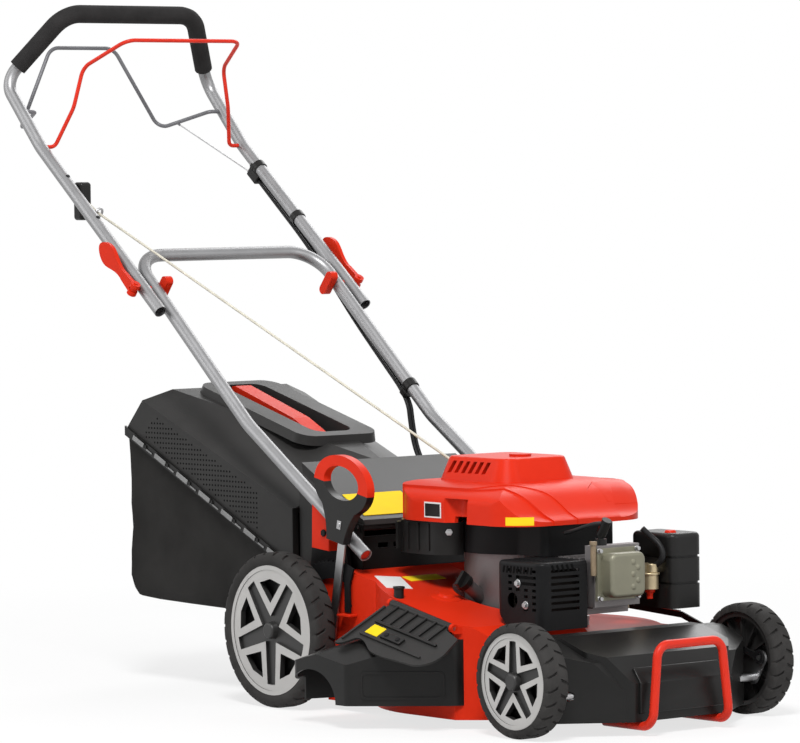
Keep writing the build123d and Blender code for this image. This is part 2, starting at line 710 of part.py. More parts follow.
tank_outside = tank_solid(0)
tank_inside = tank_solid(TANK_WALL)
with BuildPart() as fuel_tank:
    add(tank_outside)
    for n in range(4):
        # ribs moulded round the right end
        slab((BLADE_X - 145 + 26 * n, BLADE_X - 139 + 26 * n), (-142, -134), (264, 308))
    rod((FILLER_X, FILLER_Y, 300), (FILLER_X, FILLER_Y, 366), 20)
    add(tank_inside, mode=Mode.SUBTRACT)
    rod((FILLER_X, FILLER_Y, 300), (FILLER_X, FILLER_Y, 366), 20 - TANK_WALL, mode=Mode.SUBTRACT)
keep(fuel_tank, "fuel_tank")

with BuildPart() as fuel_cap:
    with BuildSketch(Plane.XY.offset(366)):
        with Locations((FILLER_X, FILLER_Y)):
            Circle(25)
    extrude(amount=16)
    fillet(fuel_cap.faces().sort_by(Axis.Z)[-1].edges(), 3)
    with BuildSketch(Plane.XY.offset(382)):
        with Locations((FILLER_X, FILLER_Y)):
            Rectangle(40, 9)
    extrude(amount=5)
keep(fuel_cap, "fuel_cap")

GUARD_X = (139, 252)
GUARD_Y = (-152, -58)
GUARD_Z = (155, 261)
with BuildPart() as muffler:
    slab((GUARD_X[0] + 26, GUARD_X[1] - 12), (GUARD_Y[0] + 12, GUARD_Y[1] - 4), (GUARD_Z[0] + 20, GUARD_Z[1] - 12))
    fillet(muffler.edges(), 9)
    slab(
        (GUARD_X[0] + 29, GUARD_X[1] - 15),
        (GUARD_Y[0] + 15, GUARD_Y[1] - 7),
        (GUARD_Z[0] + 23, GUARD_Z[1] - 15),
        mode=Mode.SUBTRACT,
    )
    rod((182, GUARD_Y[0] + 8, 200), (182, GUARD_Y[0] + 20, 200), 9, mode=Mode.SUBTRACT)
    rod((200, GUARD_Y[1] - 5, 220), (200, -50, 220), 13)
keep(muffler, "muffler")

def guard_solid(t):
    """The guard's outside for t = 0, or the hollow under a wall of thickness t, open below and to the engine."""
    over = 1 if t else 0
    with BuildPart() as box:
        slab((GUARD_X[0] + t, GUARD_X[1] - t), (GUARD_Y[0] + t, GUARD_Y[1] + over), (GUARD_Z[0] - over, GUARD_Z[1] - t))
        lower_rear = box.edges().filter_by(Axis.Y).group_by(Axis.X)[0].sort_by(Axis.Z)[0]
        chamfer(lower_rear, 32)
        fillet(box.edges().filter_by(Axis.Z).group_by(Axis.Y)[0], 18 - t)
        fillet(box.faces().sort_by(Axis.Z)[-1].edges().sort_by(Axis.Y)[0], 6 - t)
    return box.part


guard_outside = guard_solid(0)
guard_inside = guard_solid(2)
with BuildPart() as muffler_guard:
    add(guard_outside)
    add(guard_inside, mode=Mode.SUBTRACT)
    for n in range(7):
        z = GUARD_Z[0] + 30 + 10 * n
        slab((GUARD_X[1] - 4, GUARD_X[1] + 1), (-132, -74), (z, z + 4.5), mode=Mode.SUBTRACT)
        for k in range(4):
            x = 172 + 19 * k
            if not (k < 2 and n < 3):
                slab((x, x + 9), (GUARD_Y[0] - 1, GUARD_Y[0] + 4), (z, z + 4.5), mode=Mode.SUBTRACT)
    rod((182, GUARD_Y[0] - 1, 200), (182, GUARD_Y[0] + 4, 200), 12, mode=Mode.SUBTRACT)
    for n in range(8):
        x = GUARD_X[0] + 14 + 11.5 * n
        slab((x, x + 5), (-136, -112), (GUARD_Z[1] - 4, GUARD_Z[1] + 1), mode=Mode.SUBTRACT)
keep(muffler_guard, "muffler_guard")

with BuildPart() as valve_cover:
    slab((258, 263), (-46, 40), (196, 278))
    with BuildSketch(Plane.YZ.offset(263)):
        with Locations((-1, 236)):
            RectangleRounded(72, 70, 12)
    extrude(amount=24)
    fillet(valve_cover.faces().sort_by(Axis.X)[-1].edges(), 6)
keep(valve_cover, "valve_cover")

with BuildPart() as spark_plug:
    rod((247, -24, 282), (247, -24, 292), 9)
    rod((247, -24, 292), (247, -24, 306), 5)
    rod((247, -24, 298), (262, -24, 322), 8)
keep(spark_plug, "spark_plug")

FILTER_X = (154, 256)
FILTER_Y = (118, 184)
FILTER_Z = (172, 292)
with BuildPart() as carburettor:
    rod((196, 50, 226), (196, FILTER_Y[0], 226), 17)
    slab((176, 218), (56, 86), (208, 248))
    rod((196, 71, 184), (196, 71, 210), 15)
    rod((196, 71, 174), (196, 71, 184), 6)
    rod((214, 60, 238), (232, 60, 238), 4)
keep(carburettor, "carburettor")

with BuildPart() as air_filter:
    slab(FILTER_X, FILTER_Y, FILTER_Z)
    fillet(air_filter.edges().filter_by(Axis.Z), 14)
    fillet(air_filter.faces().sort_by(Axis.Z)[-1].edges(), 8)
    middle = ((FILTER_X[0] + FILTER_X[1]) / 2, (FILTER_Y[0] + FILTER_Y[1]) / 2)
    width = (FILTER_X[1] - FILTER_X[0], FILTER_Y[1] - FILTER_Y[0])
    for z in (FILTER_Z[0] + 38, FILTER_Z[1] - 40):
        # grooves between the bowl, the body and the lid
        with BuildSketch(Plane.XY.offset(z)):
            with Locations(middle):
                RectangleRounded(width[0] + 20, width[1] + 20, 20)
                RectangleRounded(width[0] - 5, width[1] - 5, 12, mode=Mode.SUBTRACT)
        extrude(amount=4, mode=Mode.SUBTRACT)
    with BuildSketch(Plane.XY.offset(FILTER_Z[0] + 4)):
        with Locations(middle):
            RectangleRounded(width[0] - 12, width[1] - 12, 10)
    extrude(amount=FILTER_Z[1] - FILTER_Z[0] - 10, mode=Mode.SUBTRACT)
    rod((196, FILTER_Y[0] - 1, 226), (196, FILTER_Y[0] + 12, 226), 13, mode=Mode.SUBTRACT)
keep(air_filter, "air_filter")

# Crankshaft with flywheel, blade adapter, blade and bolt
with BuildPart() as crankshaft:
    rod((BLADE_X, 0, BLADE_Z + 14), (BLADE_X, 0, 292), SHAFT_R)
    rod((BLADE_X, 0, 280), (BLADE_X, 0, 294), 82)
    rod((BLADE_X, 0, BLADE_Z + 13), (BLADE_X, 0, BLADE_Z + 50), 5 + RUNNING, mode=Mode.SUBTRACT)
keep(crankshaft, "crankshaft")

with BuildPart() as blade_adapter:
    rod((BLADE_X, 0, BLADE_Z + 4), (BLADE_X, 0, BLADE_Z + 12), 34)
    rod((BLADE_X, 0, BLADE_Z + 12), (BLADE_X, 0, BLADE_Z + 44), 20)
    rod((BLADE_X, 0, BLADE_Z + 14), (BLADE_X, 0, BLADE_Z + 60), SHAFT_R, mode=Mode.SUBTRACT)
    rod((BLADE_X, 0, BLADE_Z), (BLADE_X, 0, BLADE_Z + 20), 5 + RUNNING, mode=Mode.SUBTRACT)
keep(blade_adapter, "blade_adapter")

with BuildPart() as blade:
    slab((BLADE_X - 26, BLADE_X + 26), (-BLADE_LENGTH / 2, BLADE_LENGTH / 2), (BLADE_Z, BLADE_Z + 4))
    for side in (-1, 1):
        trailing = BLADE_X + side * 26
        tip = sorted((-side * BLADE_LENGTH / 2, -side * (BLADE_LENGTH / 2 - 95)))
        plate(
            [
                (trailing - side * 2, BLADE_Z + 4),
                (trailing - side * 2, BLADE_Z),
                (trailing + side * 14, BLADE_Z + 18),
                (trailing + side * 11, BLADE_Z + 20),
            ],
            tip,
        )
    with BuildSketch(Plane.XY.offset(BLADE_Z - 1)):
        with Locations((BLADE_X, 0)):
            Circle(BLADE_LENGTH)
            Circle(BLADE_LENGTH / 2, mode=Mode.SUBTRACT)
    extrude(amount=40, mode=Mode.SUBTRACT)
    rod((BLADE_X, 0, BLADE_Z - 1), (BLADE_X, 0, BLADE_Z + 6), 5 + RUNNING, mode=Mode.SUBTRACT)
keep(blade, "blade")

with BuildPart() as blade_bolt:
    with BuildSketch(Plane.XY.offset(BLADE_Z - 8)):
        with Locations((BLADE_X, 0)):
            RegularPolygon(10, 6)
    extrude(amount=8)
    rod((BLADE_X, 0, BLADE_Z), (BLADE_X, 0, BLADE_Z + 45), 5)
keep(blade_bolt, "blade_bolt")

# Wheels
STAR_POINTS = 5
HUB_R = 17
RIM_LIP = 7
RIB_COUNT = 12
FACE_DEPTH = 4
WEB_DEPTH = 9
WEB_T = 5
BACK_DEPTH = 24


def triangle(angle, apex, base, half):
    """The corners of a triangle that points at the hub, its base curved along the rim."""
    at = [(apex, 0), (base, half), (base * 1.03, 0), (base, -half)]
    return [(r * cos(radians(angle + a)), r * sin(radians(angle + a))) for r, a in at]


def wheel(name, x, out_y, side, diameter, axle_r, turn):
    """A tyre and its rim with a five-armed star, standing on the ground, with its first window at an angle."""
    radius = diameter / 2
    rim_r = radius * RIM_SHARE
    face = Plane(origin=(x, side * out_y, radius), x_dir=(1, 0, 0), z_dir=(0, side, 0))
    with BuildPart() as tyre:
        with BuildSketch(face):
            Circle(radius)
            Circle(rim_r, mode=Mode.SUBTRACT)
        extrude(amount=-WHEEL_W)
        fillet(tyre.edges().filter_by(GeomType.CIRCLE).group_by(SortBy.RADIUS)[-1], 7)
    keep(tyre, f"tyre_{name}")
    windows = []
    frames = []
    for n in range(STAR_POINTS):
        angle = turn + 360 / STAR_POINTS * n
        windows.append(triangle(angle, 0.42 * rim_r, 0.77 * rim_r, 20))
        frames.append(triangle(angle, 0.22 * rim_r, 0.90 * rim_r, 30))
    with BuildPart() as rim:
        # barrel, outer ring and web
        with BuildSketch(face.offset(-3)):
            Circle(rim_r)
            Circle(rim_r - RIM_LIP, mode=Mode.SUBTRACT)
        extrude(amount=6 - WHEEL_W)
        with BuildSketch(face.offset(-WEB_DEPTH)):
            Circle(rim_r - 1)
            for corners in windows:
                with BuildLine():
                    Polyline(*corners, close=True)
                make_face(mode=Mode.SUBTRACT)
        extrude(amount=-WEB_T)
        # raised ring and V frames, with the star between them left low
        with BuildSketch(face.offset(-WEB_DEPTH)):
            Circle(rim_r - 1)
            Circle(0.84 * rim_r, mode=Mode.SUBTRACT)
            for corners in frames:
                with BuildLine():
                    Polyline(*corners, close=True)
                make_face()
            for corners in windows:
                with BuildLine():
                    Polyline(*corners, close=True)
                make_face(mode=Mode.SUBTRACT)
        extrude(amount=WEB_DEPTH - FACE_DEPTH)
        # back plate with radial ribs
        with BuildSketch(face.offset(-BACK_DEPTH)):
            Circle(rim_r - 1)
        extrude(amount=-3)
        with BuildSketch(face.offset(-BACK_DEPTH)):
            for n in range(RIB_COUNT):
                with Locations(Rotation(0, 0, 360 / RIB_COUNT * n)):
                    with Locations((rim_r / 2, 0)):
                        Rectangle(rim_r - 4, 3)
        extrude(amount=BACK_DEPTH + 8 - WHEEL_W)
        # hub with a domed cap
        with BuildSketch(face.offset(-WEB_DEPTH)):
            Circle(HUB_R)
        extrude(amount=WEB_DEPTH + 2 - WHEEL_W)
        with BuildSketch(face.offset(-WEB_DEPTH)):
            Circle(HUB_R - 2)
        extrude(amount=WEB_DEPTH + 3, taper=12)
        fillet(rim.faces().sort_by(Axis((0, 0, 0), (0, side, 0)))[-1].edges(), 4)
        with BuildSketch(face.offset(-WEB_DEPTH)):
            Circle(axle_r + RUNNING)
        extrude(amount=-WHEEL_W, mode=Mode.SUBTRACT)
    keep(rim, f"rim_{name}")


wheel("rear_right", REAR_X, REAR_OUT_Y, -1, REAR_WHEEL_D, REAR_AXLE_R, 90)
wheel("rear_left", REAR_X, REAR_OUT_Y, 1, REAR_WHEEL_D, REAR_AXLE_R, 90)
wheel("front_right", FRONT_X, FRONT_OUT_Y, -1, FRONT_WHEEL_D, FRONT_AXLE_R, 54)
wheel("front_left", FRONT_X, FRONT_OUT_Y, 1, FRONT_WHEEL_D, FRONT_AXLE_R, 54)

# Rear wheel arms, turned by the height lever
REAR_Z = REAR_WHEEL_D / 2
FRONT_Z = FRONT_WHEEL_D / 2
LINK_REAR = (REAR_PIVOT[0] + LINK_SHIFT, REAR_PIVOT[1] + (REAR_LINK_ARM ** 2 - LINK_SHIFT ** 2) ** 0.5)
LINK_FRONT = (FRONT_PIVOT[0] + LINK_SHIFT, FRONT_PIVOT[1] + (FRONT_LINK_ARM ** 2 - LINK_SHIFT ** 2) ** 0.5)
LINK_PIN_R = 4
with BuildPart() as rear_axle:
    rod((REAR_X, -REAR_OUT_Y + 10, REAR_Z), (REAR_X, REAR_OUT_Y - 10, REAR_Z), REAR_AXLE_R)
    linked([(REAR_X, REAR_Z), REAR_PIVOT], 13, (-REAR_ARM_Y - ARM_T / 2, -REAR_ARM_Y + ARM_T / 2))
    linked([(REAR_X, REAR_Z), REAR_PIVOT, LINK_REAR], 13, (REAR_ARM_Y - ARM_T / 2, REAR_ARM_Y + ARM_T / 2))
    rod((LINK_REAR[0], LINK_Y - 2.2, LINK_REAR[1]), (LINK_REAR[0], REAR_ARM_Y, LINK_REAR[1]), LINK_PIN_R)
    rod(
        (REAR_PIVOT[0], -REAR_OUT_Y, REAR_PIVOT[1]),
        (REAR_PIVOT[0], REAR_OUT_Y, REAR_PIVOT[1]),
        STUB_R + RUNNING,
        mode=Mode.SUBTRACT,
    )
keep(rear_axle, "rear_axle")

with BuildPart() as drive_gearbox:
    rod((REAR_X, -30, REAR_Z), (REAR_X, 30, REAR_Z), 19)
    slab((REAR_X, REAR_X + 34), (-22, 22), (REAR_Z - 17, REAR_Z - 4))
    rod((REAR_X, -31, REAR_Z), (REAR_X, 31, REAR_Z), REAR_AXLE_R, mode=Mode.SUBTRACT)
keep(drive_gearbox, "drive_gearbox")

with BuildPart() as front_axle:
    rod((FRONT_PIVOT[0], -FRONT_ARM_Y, FRONT_PIVOT[1]), (FRONT_PIVOT[0], FRONT_ARM_Y, FRONT_PIVOT[1]), FRONT_AXLE_R)
    for side in (-1, 1):
        y = (side * FRONT_ARM_Y - ARM_T / 2, side * FRONT_ARM_Y + ARM_T / 2)
        linked([(FRONT_X, FRONT_Z), FRONT_PIVOT] + ([LINK_FRONT] if side > 0 else []), 11, y)
        rod((FRONT_X, side * FRONT_ARM_Y, FRONT_Z), (FRONT_X, side * (FRONT_OUT_Y - 10), FRONT_Z), FRONT_AXLE_R)
    rod((LINK_FRONT[0], LINK_Y - 2.2, LINK_FRONT[1]), (LINK_FRONT[0], FRONT_ARM_Y, LINK_FRONT[1]), LINK_PIN_R)
keep(front_axle, "front_axle")

LINK_KINK = (BLADE_X + 159, PAN_TOP + 13)
with BuildPart() as height_link:
    y = (LINK_Y - LINK_T / 2, LINK_Y + LINK_T / 2)
    linked([LINK_REAR, LINK_KINK], 5, y)
    linked([LINK_KINK, LINK_FRONT], 5, y)
    linked([LINK_REAR], 9, y)
    linked([LINK_FRONT, (LINK_FRONT[0], LINK_FRONT[1] + 4)], 9.5, y)
    linked([LINK_REAR], LINK_PIN_R + RUNNING, (LINK_Y - 9, LINK_Y + 9), mode=Mode.SUBTRACT)
    slot = [(LINK_FRONT[0], LINK_FRONT[1] - 0.5), (LINK_FRONT[0], LINK_FRONT[1] + 4)]
    linked(slot, LINK_PIN_R + 0.9, (LINK_Y - 9, LINK_Y + 9), mode=Mode.SUBTRACT)
keep(height_link, "height_link")

# Height lever on the right: a spring-steel strip, a black grip and a red finger loop
LEVER_LEAN = 11
LEVER_STRIP_Y = (-TUNNEL_HALF_W - 12.4, -TUNNEL_HALF_W - 9.4)
LEVER_GRIP_Y = (-TUNNEL_HALF_W - 27, -TUNNEL_HALF_W - 12.4)
LOOP_SPLIT = 268
LOOP_CENTRE = 271
LOOP_R = (70, 48)
LOOP_HOLE_R = (45, 27)
lever_x = (cos(radians(LEVER_LEAN)), 0, -sin(radians(LEVER_LEAN)))
lever_plane = Plane(origin=(REAR_PIVOT[0], LEVER_GRIP_Y[1], REAR_PIVOT[1]), x_dir=lever_x, z_dir=(0, -1, 0))
with BuildPart() as lever_strip:
    top = lever_plane.from_local_coords((0, 196, 0))
    linked([REAR_PIVOT, (top.X, top.Z)], 9, LEVER_STRIP_Y)
    linked([REAR_PIVOT], 13, LEVER_STRIP_Y)
    linked([REAR_PIVOT], STUB_R + RUNNING, (-TUNNEL_HALF_W - 20, -TUNNEL_HALF_W), mode=Mode.SUBTRACT)
keep(lever_strip, "lever_strip")


def lever_head(low, high):
    """The part of the lever's looped head between two distances from its pivot."""
    with BuildPart() as head:
        with BuildSketch(lever_plane):
            with Locations((0, LOOP_CENTRE)):
                Ellipse(*LOOP_R)
            with BuildLine():
                Polyline((-22, 178), (22, 178))
                Spline((22, 178), (32, 214), (60, 250), tangents=((0.1, 1), (0.8, 0.6)))
                Line((60, 250), (-60, 250))
                Spline((-60, 250), (-32, 214), (-22, 178), tangents=((0.8, -0.6), (0.1, -1)))
            make_face()
            with Locations((0, LOOP_CENTRE + 4)):
                Ellipse(*LOOP_HOLE_R, mode=Mode.SUBTRACT)
            with Locations((0, (low + high) / 2)):
                Rectangle(200, high - low, mode=Mode.INTERSECT)
        extrude(amount=LEVER_GRIP_Y[1] - LEVER_GRIP_Y[0])
    return head


lever_grip = lever_head(170, LOOP_SPLIT)
keep(lever_grip, "lever_grip")
lever_loop = lever_head(LOOP_SPLIT, 330)
keep(lever_loop, "lever_loop")

QUADRANT_Y = (-TUNNEL_HALF_W - 6, -TUNNEL_HALF_W - 3)
NOTCHES = 7
with BuildPart() as height_quadrant:
    hub = (REAR_PIVOT[0], QUADRANT_Y[1], REAR_PIVOT[1])
    with BuildSketch(Plane(origin=hub, x_dir=(1, 0, 0), z_dir=(0, -1, 0))):
        Circle(142)
        Circle(112, mode=Mode.SUBTRACT)
        with BuildLine():
            Polyline((0, 0), (72, 170), (-90, 170), close=True)
        make_face(mode=Mode.INTERSECT)
        for n in range(NOTCHES):
            angle = radians(90 - LEVER_LEAN + 29 * n / (NOTCHES - 1))
            with Locations((142 * cos(angle), 142 * sin(angle))):
                Circle(3.2, mode=Mode.SUBTRACT)
        for x in (38, -36):
            with Locations((x, 92)):
                Rectangle(14, 66)
    extrude(amount=QUADRANT_Y[1] - QUADRANT_Y[0])
    for x in (38, -36):
        rod((REAR_PIVOT[0] + x, QUADRANT_Y[1], 172), (REAR_PIVOT[0] + x, -TUNNEL_HALF_W, 172), 5)
keep(height_quadrant, "height_quadrant")

# Grass bag: a rigid lid with side walls, a cloth sack, clip rails round the seam, and a carry handle
LID_FRONT_Z = 394
LID_RISE = 0.268
SEAM_FRONT_Z = 219
SEAM_REAR_Z = 431
LID_LEAN = 60
PAD_RISE = 12
PAD_SPAN = (90, 414)
PAD_HALF_W = 86
WELL_SPAN = (116, 392)
WELL_HALF_W = 42
WELL_FLOOR = -26
lid_top = Plane(origin=(BAG_FRONT_X, 0, LID_FRONT_Z), x_dir=(-1, 0, LID_RISE), z_dir=(LID_RISE, 0, 1))
facet_along = Vector(BAG_LENGTH - 78, 0, -154)
facet_across = Vector(BAG_LENGTH - 331, 77, -18)
facet_normal = facet_along.cross(facet_across)


def lid_solid(t):
    """The lid's outside for t = 0, or the hollow under a wall of thickness t, open to the front and below."""
    front = BAG_FRONT_X + (7 if t else 0)
    rear = BAG_REAR_X + t
    top = LID_FRONT_Z - LID_RISE * (front - BAG_FRONT_X) - t
    with BuildPart() as lid:
        with BuildSketch(Plane.XZ):
            with BuildLine():
                Polyline(
                    (front, top),
                    (rear + LID_LEAN, top + LID_RISE * (front - rear - LID_LEAN)),
                    (rear, SEAM_REAR_Z + 8 - t / 2),
                    (rear, SEAM_REAR_Z - 4 * t),
                    (front, SEAM_FRONT_Z - 4 * t),
                    close=True,
                )
            make_face()
        extrude(amount=BAG_HALF_W - t, both=True)
        for side in (-1, 1):
            # long facets down the shoulders, wider to the front
            crease = (BAG_REAR_X + 78, side * (BAG_HALF_W - 4), 473)
            normal = (facet_normal.X, -side * facet_normal.Y, facet_normal.Z)
            split(bisect_by=Plane(origin=crease, z_dir=normal).offset(-t), keep=Keep.BOTTOM)
    return lid.part


def well(grow, low, high):
    """A rounded block over the middle of the lid, larger than the handle's well by a margin."""
    span = (WELL_SPAN[0] - grow, WELL_SPAN[1] + grow)
    with BuildPart() as block:
        with BuildSketch(lid_top.offset(low)):
            with Locations(((span[0] + span[1]) / 2, 0)):
                RectangleRounded(span[1] - span[0], 2 * (WELL_HALF_W + grow), 22 + grow)
        extrude(amount=high - low)
    return block.part


lid_outside = lid_solid(0)
lid_inside = lid_solid(BAG_WALL)
with BuildPart() as bag_lid:
    add(lid_outside)
    # raised pad round the handle's well
    with BuildSketch(lid_top.offset(-4)):
        with Locations((sum(PAD_SPAN) / 2, 0)):
            RectangleRounded(PAD_SPAN[1] - PAD_SPAN[0], 2 * PAD_HALF_W, 34)
    extrude(amount=PAD_RISE + 4, taper=14)
    add(lid_inside - well(BAG_WALL, WELL_FLOOR - BAG_WALL, 60), mode=Mode.SUBTRACT)
    add(well(0, WELL_FLOOR, 60), mode=Mode.SUBTRACT)
keep(bag_lid, "bag_lid")

SACK_FLOOR = 138
sack_side = [
    (BAG_FRONT_X, SEAM_FRONT_Z), (BAG_REAR_X, SEAM_REAR_Z), (BAG_REAR_X, SACK_FLOOR + 34), (BAG_REAR_X + 14, SACK_FLOOR + 8),
    (BAG_FRONT_X - 38, SACK_FLOOR), (BAG_FRONT_X, SACK_FLOOR + 14),
]
sack_hollow = [
    (BAG_FRONT_X + 7, SEAM_FRONT_Z + 11), (BAG_REAR_X + BAG_WALL, SEAM_REAR_Z + 14), (BAG_REAR_X + BAG_WALL, SACK_FLOOR + 35),
    (BAG_REAR_X + 16, SACK_FLOOR + 11), (BAG_FRONT_X - 38, SACK_FLOOR + BAG_WALL), (BAG_FRONT_X + 7, SACK_FLOOR + 19),
]
with BuildPart() as bag_sack:
    plate(sack_side, (-BAG_HALF_W, BAG_HALF_W))
    plate(sack_hollow, (-BAG_HALF_W + BAG_WALL, BAG_HALF_W - BAG_WALL), mode=Mode.SUBTRACT)
keep(bag_sack, "bag_sack")

RAIL_T = 4
CLIP_COUNT = 7
with BuildPart() as bag_frame:
    for side in (-1, 1):
        y = across(side, BAG_HALF_W, BAG_HALF_W + RAIL_T)
        rail = [
            (BAG_FRONT_X, SEAM_FRONT_Z + 7), (BAG_REAR_X - RAIL_T, SEAM_REAR_Z + 9),
            (BAG_REAR_X - RAIL_T, SEAM_REAR_Z - 7), (BAG_FRONT_X, SEAM_FRONT_Z - 7),
        ]
        plate(rail, y)
        for n in range(CLIP_COUNT):
            # clips that hold the sack's hem to the rail
            at = BAG_FRONT_X - BAG_LENGTH * (n + 0.72) / (CLIP_COUNT + 0.4)
            z = SEAM_FRONT_Z + (SEAM_REAR_Z - SEAM_FRONT_Z) * (BAG_FRONT_X - at) / BAG_LENGTH
            clip = [(at + 18, z - 4), (at - 18, z + 13), (at - 18, z + 6), (at + 18, z - 11)]
            plate(clip, across(side, BAG_HALF_W + 1, BAG_HALF_W + RAIL_T + 2))
    slab((BAG_REAR_X - RAIL_T, BAG_REAR_X), (-BAG_HALF_W, BAG_HALF_W), (SEAM_REAR_Z - 7, SEAM_REAR_Z + 7))
    mouth = (BAG_HALF_W - 8, SACK_FLOOR + 24, LID_FRONT_Z - 82)
    slab(
        (BAG_FRONT_X, BAG_FRONT_X + 3),
        (-BAG_HALF_W - RAIL_T, BAG_HALF_W + RAIL_T),
        (SACK_FLOOR + 14, mouth[2] + 8),
    )
    slab((BAG_FRONT_X - 1, BAG_FRONT_X + 4), (-mouth[0], mouth[0]), mouth[1:], mode=Mode.SUBTRACT)
keep(bag_frame, "bag_frame")

HANDLE_HALF_W = 17
bar = Plane(origin=lid_top.from_local_coords((0, HANDLE_HALF_W, 0)), x_dir=lid_top.x_dir, z_dir=lid_top.y_dir)
with BuildPart() as bag_handle:
    with BuildSketch(bar) as side_view:
        with BuildLine():
            Polyline(
                (WELL_SPAN[1], -WELL_FLOOR), (WELL_SPAN[1], -9), (WELL_SPAN[1] - 8, -12), (214, -6),
                (WELL_SPAN[0] + 2, 12), (WELL_SPAN[0] + 2, -WELL_FLOOR), (204, -WELL_FLOOR), (207, 6),
                (368, 0), (373, 5), (373, -WELL_FLOOR), close=True,
            )
        make_face()
    extrude(amount=-2 * HANDLE_HALF_W)
keep(bag_handle, "bag_handle")

# Handle: a lower loop bolted to the deck, an upper loop that folds, and its clamps
TUBE_BORE = TUBE_R - 1.5
SCREW_R = 4
lower_half = [(x, -LOWER_HALF_W, z) for x, z in (LOWER_FOOT, LOWER_BEND, CROSSBAR)]
upper_half = [(x, -UPPER_HALF_W, z) for x, z in (UPPER_FOOT, UPPER_BEND, UPPER_CORNER)]
upper_half.append((GRIP[0], -GRIP_HALF_W, GRIP[1]))
fold_line = ((FOLD[0], -UPPER_HALF_W - 30, FOLD[1]), (FOLD[0], UPPER_HALF_W + 30, FOLD[1]))
with BuildPart() as lower_handle:
    bent(mirrored(lower_half), [160, 60, 60, 160], TUBE_R, TUBE_BORE)
    rod(*fold_line, SCREW_R + GAP, mode=Mode.SUBTRACT)
keep(lower_handle, "lower_handle")

with BuildPart() as upper_handle:
    bent(mirrored(upper_half), [150, 40, 55, 55, 40, 150], TUBE_R, TUBE_BORE)
    rod(*fold_line, SCREW_R + GAP, mode=Mode.SUBTRACT)
    for pivot in (RED_PIVOT, GREY_PIVOT):
        ends = ((pivot[0], -UPPER_HALF_W, pivot[1]), (pivot[0], UPPER_HALF_W, pivot[1]))
        rod(*ends, BAIL_R + GAP, mode=Mode.SUBTRACT)
keep(upper_handle, "upper_handle")

FOAM_SETBACK = 34
foam_start = Vector(*upper_half[2]) + (Vector(*upper_half[3]) - Vector(*upper_half[2])).normalized() * FOAM_SETBACK
foam_half = [tuple(foam_start), upper_half[3]]
with BuildPart() as foam_grip:
    bent(mirrored(foam_half), 55, FOAM_D / 2, TUBE_R)
keep(foam_grip, "foam_grip")

leg_run = Vector(UPPER_BEND[0] - UPPER_FOOT[0], 0, UPPER_BEND[1] - UPPER_FOOT[1]).normalized()
leg_up = Vector(leg_run.Z, 0, -leg_run.X)
CAM_Y = UPPER_HALF_W + 21
WING_Y = LOWER_HALF_W - TUBE_R - GAP
with BuildPart() as clamp_screws:
    for side in (-1, 1):
        centre = Vector(FOLD[0], side * CAM_Y, FOLD[1])
        rod((FOLD[0], side * (WING_Y - 10.6), FOLD[1]), (FOLD[0], side * (CAM_Y - 10), FOLD[1]), SCREW_R)
        rod((FOLD[0], side * (CAM_Y - 10), FOLD[1]), tuple(centre), 3)
        rod(tuple(centre - leg_up * 3.2), tuple(centre + leg_up * 3.2), 6)
        rod(tuple(centre - leg_up * 13), tuple(centre + leg_up * 13), 3)
        with BuildSketch(Plane(origin=(FOLD[0], side * WING_Y, FOLD[1]), x_dir=leg_up, z_dir=(0, -side, 0))):
            RectangleRounded(46, 17, 8)
        extrude(amount=14)
keep(clamp_screws, "clamp_screws")


def cam(side):
    """A spoon-shaped clamp lever that lies along the upper leg."""
    centre = Vector(FOLD[0], side * CAM_Y, FOLD[1])
    with BuildPart() as lever:
        for end in (-1, 1):
            rod(tuple(centre + leg_up * (end * 3.6)), tuple(centre + leg_up * (end * 11)), 8.5)
        with BuildSketch(Plane(origin=(FOLD[0], side * (CAM_Y - 3), FOLD[1]), x_dir=leg_run, z_dir=(0, side, 0))):
            with BuildLine():
                Polyline((7, 10), (7, -10), (34, -8))
                Spline((34, -8), (66, -12), (96, -18), (119, 0), (96, 18), (66, 12), (34, 8))
                Line((34, 8), (7, 10))
            make_face()
        extrude(amount=7)
        rod(tuple(centre - leg_up * 14), tuple(centre + leg_up * 14), 3 + RUNNING, mode=Mode.SUBTRACT)
    return lever


keep(cam(-1), "cam_right")
keep(cam(1), "cam_left")

with BuildPart() as handle_brackets:
    for side in (-1, 1):
        bracket = behind([(12, TUNNEL_TOP), (112, TUNNEL_TOP), (98, 318), (76, 338), (40, 352), (26, 330)])
        plate(bracket, across(side, LOWER_HALF_W - 18, LOWER_HALF_W - TUBE_R))
keep(handle_brackets, "handle_brackets")

lower_run = Vector(LOWER_BEND[0] - LOWER_FOOT[0], 0, LOWER_BEND[1] - LOWER_FOOT[1]).normalized()
with BuildPart() as handle_clamps:
    for side in (-1, 1):
        jaw = behind([(44, 262), (88, 258), (90, 306), (46, 334)])
        plate(jaw, across(side, LOWER_HALF_W - TUBE_R, LOWER_HALF_W + TUBE_R - 0.5))
        foot = Vector(LOWER_FOOT[0], side * LOWER_HALF_W, LOWER_FOOT[1])
        rod(tuple(foot), tuple(foot + lower_run * 300), TUBE_R, mode=Mode.SUBTRACT)
keep(handle_clamps, "handle_clamps")

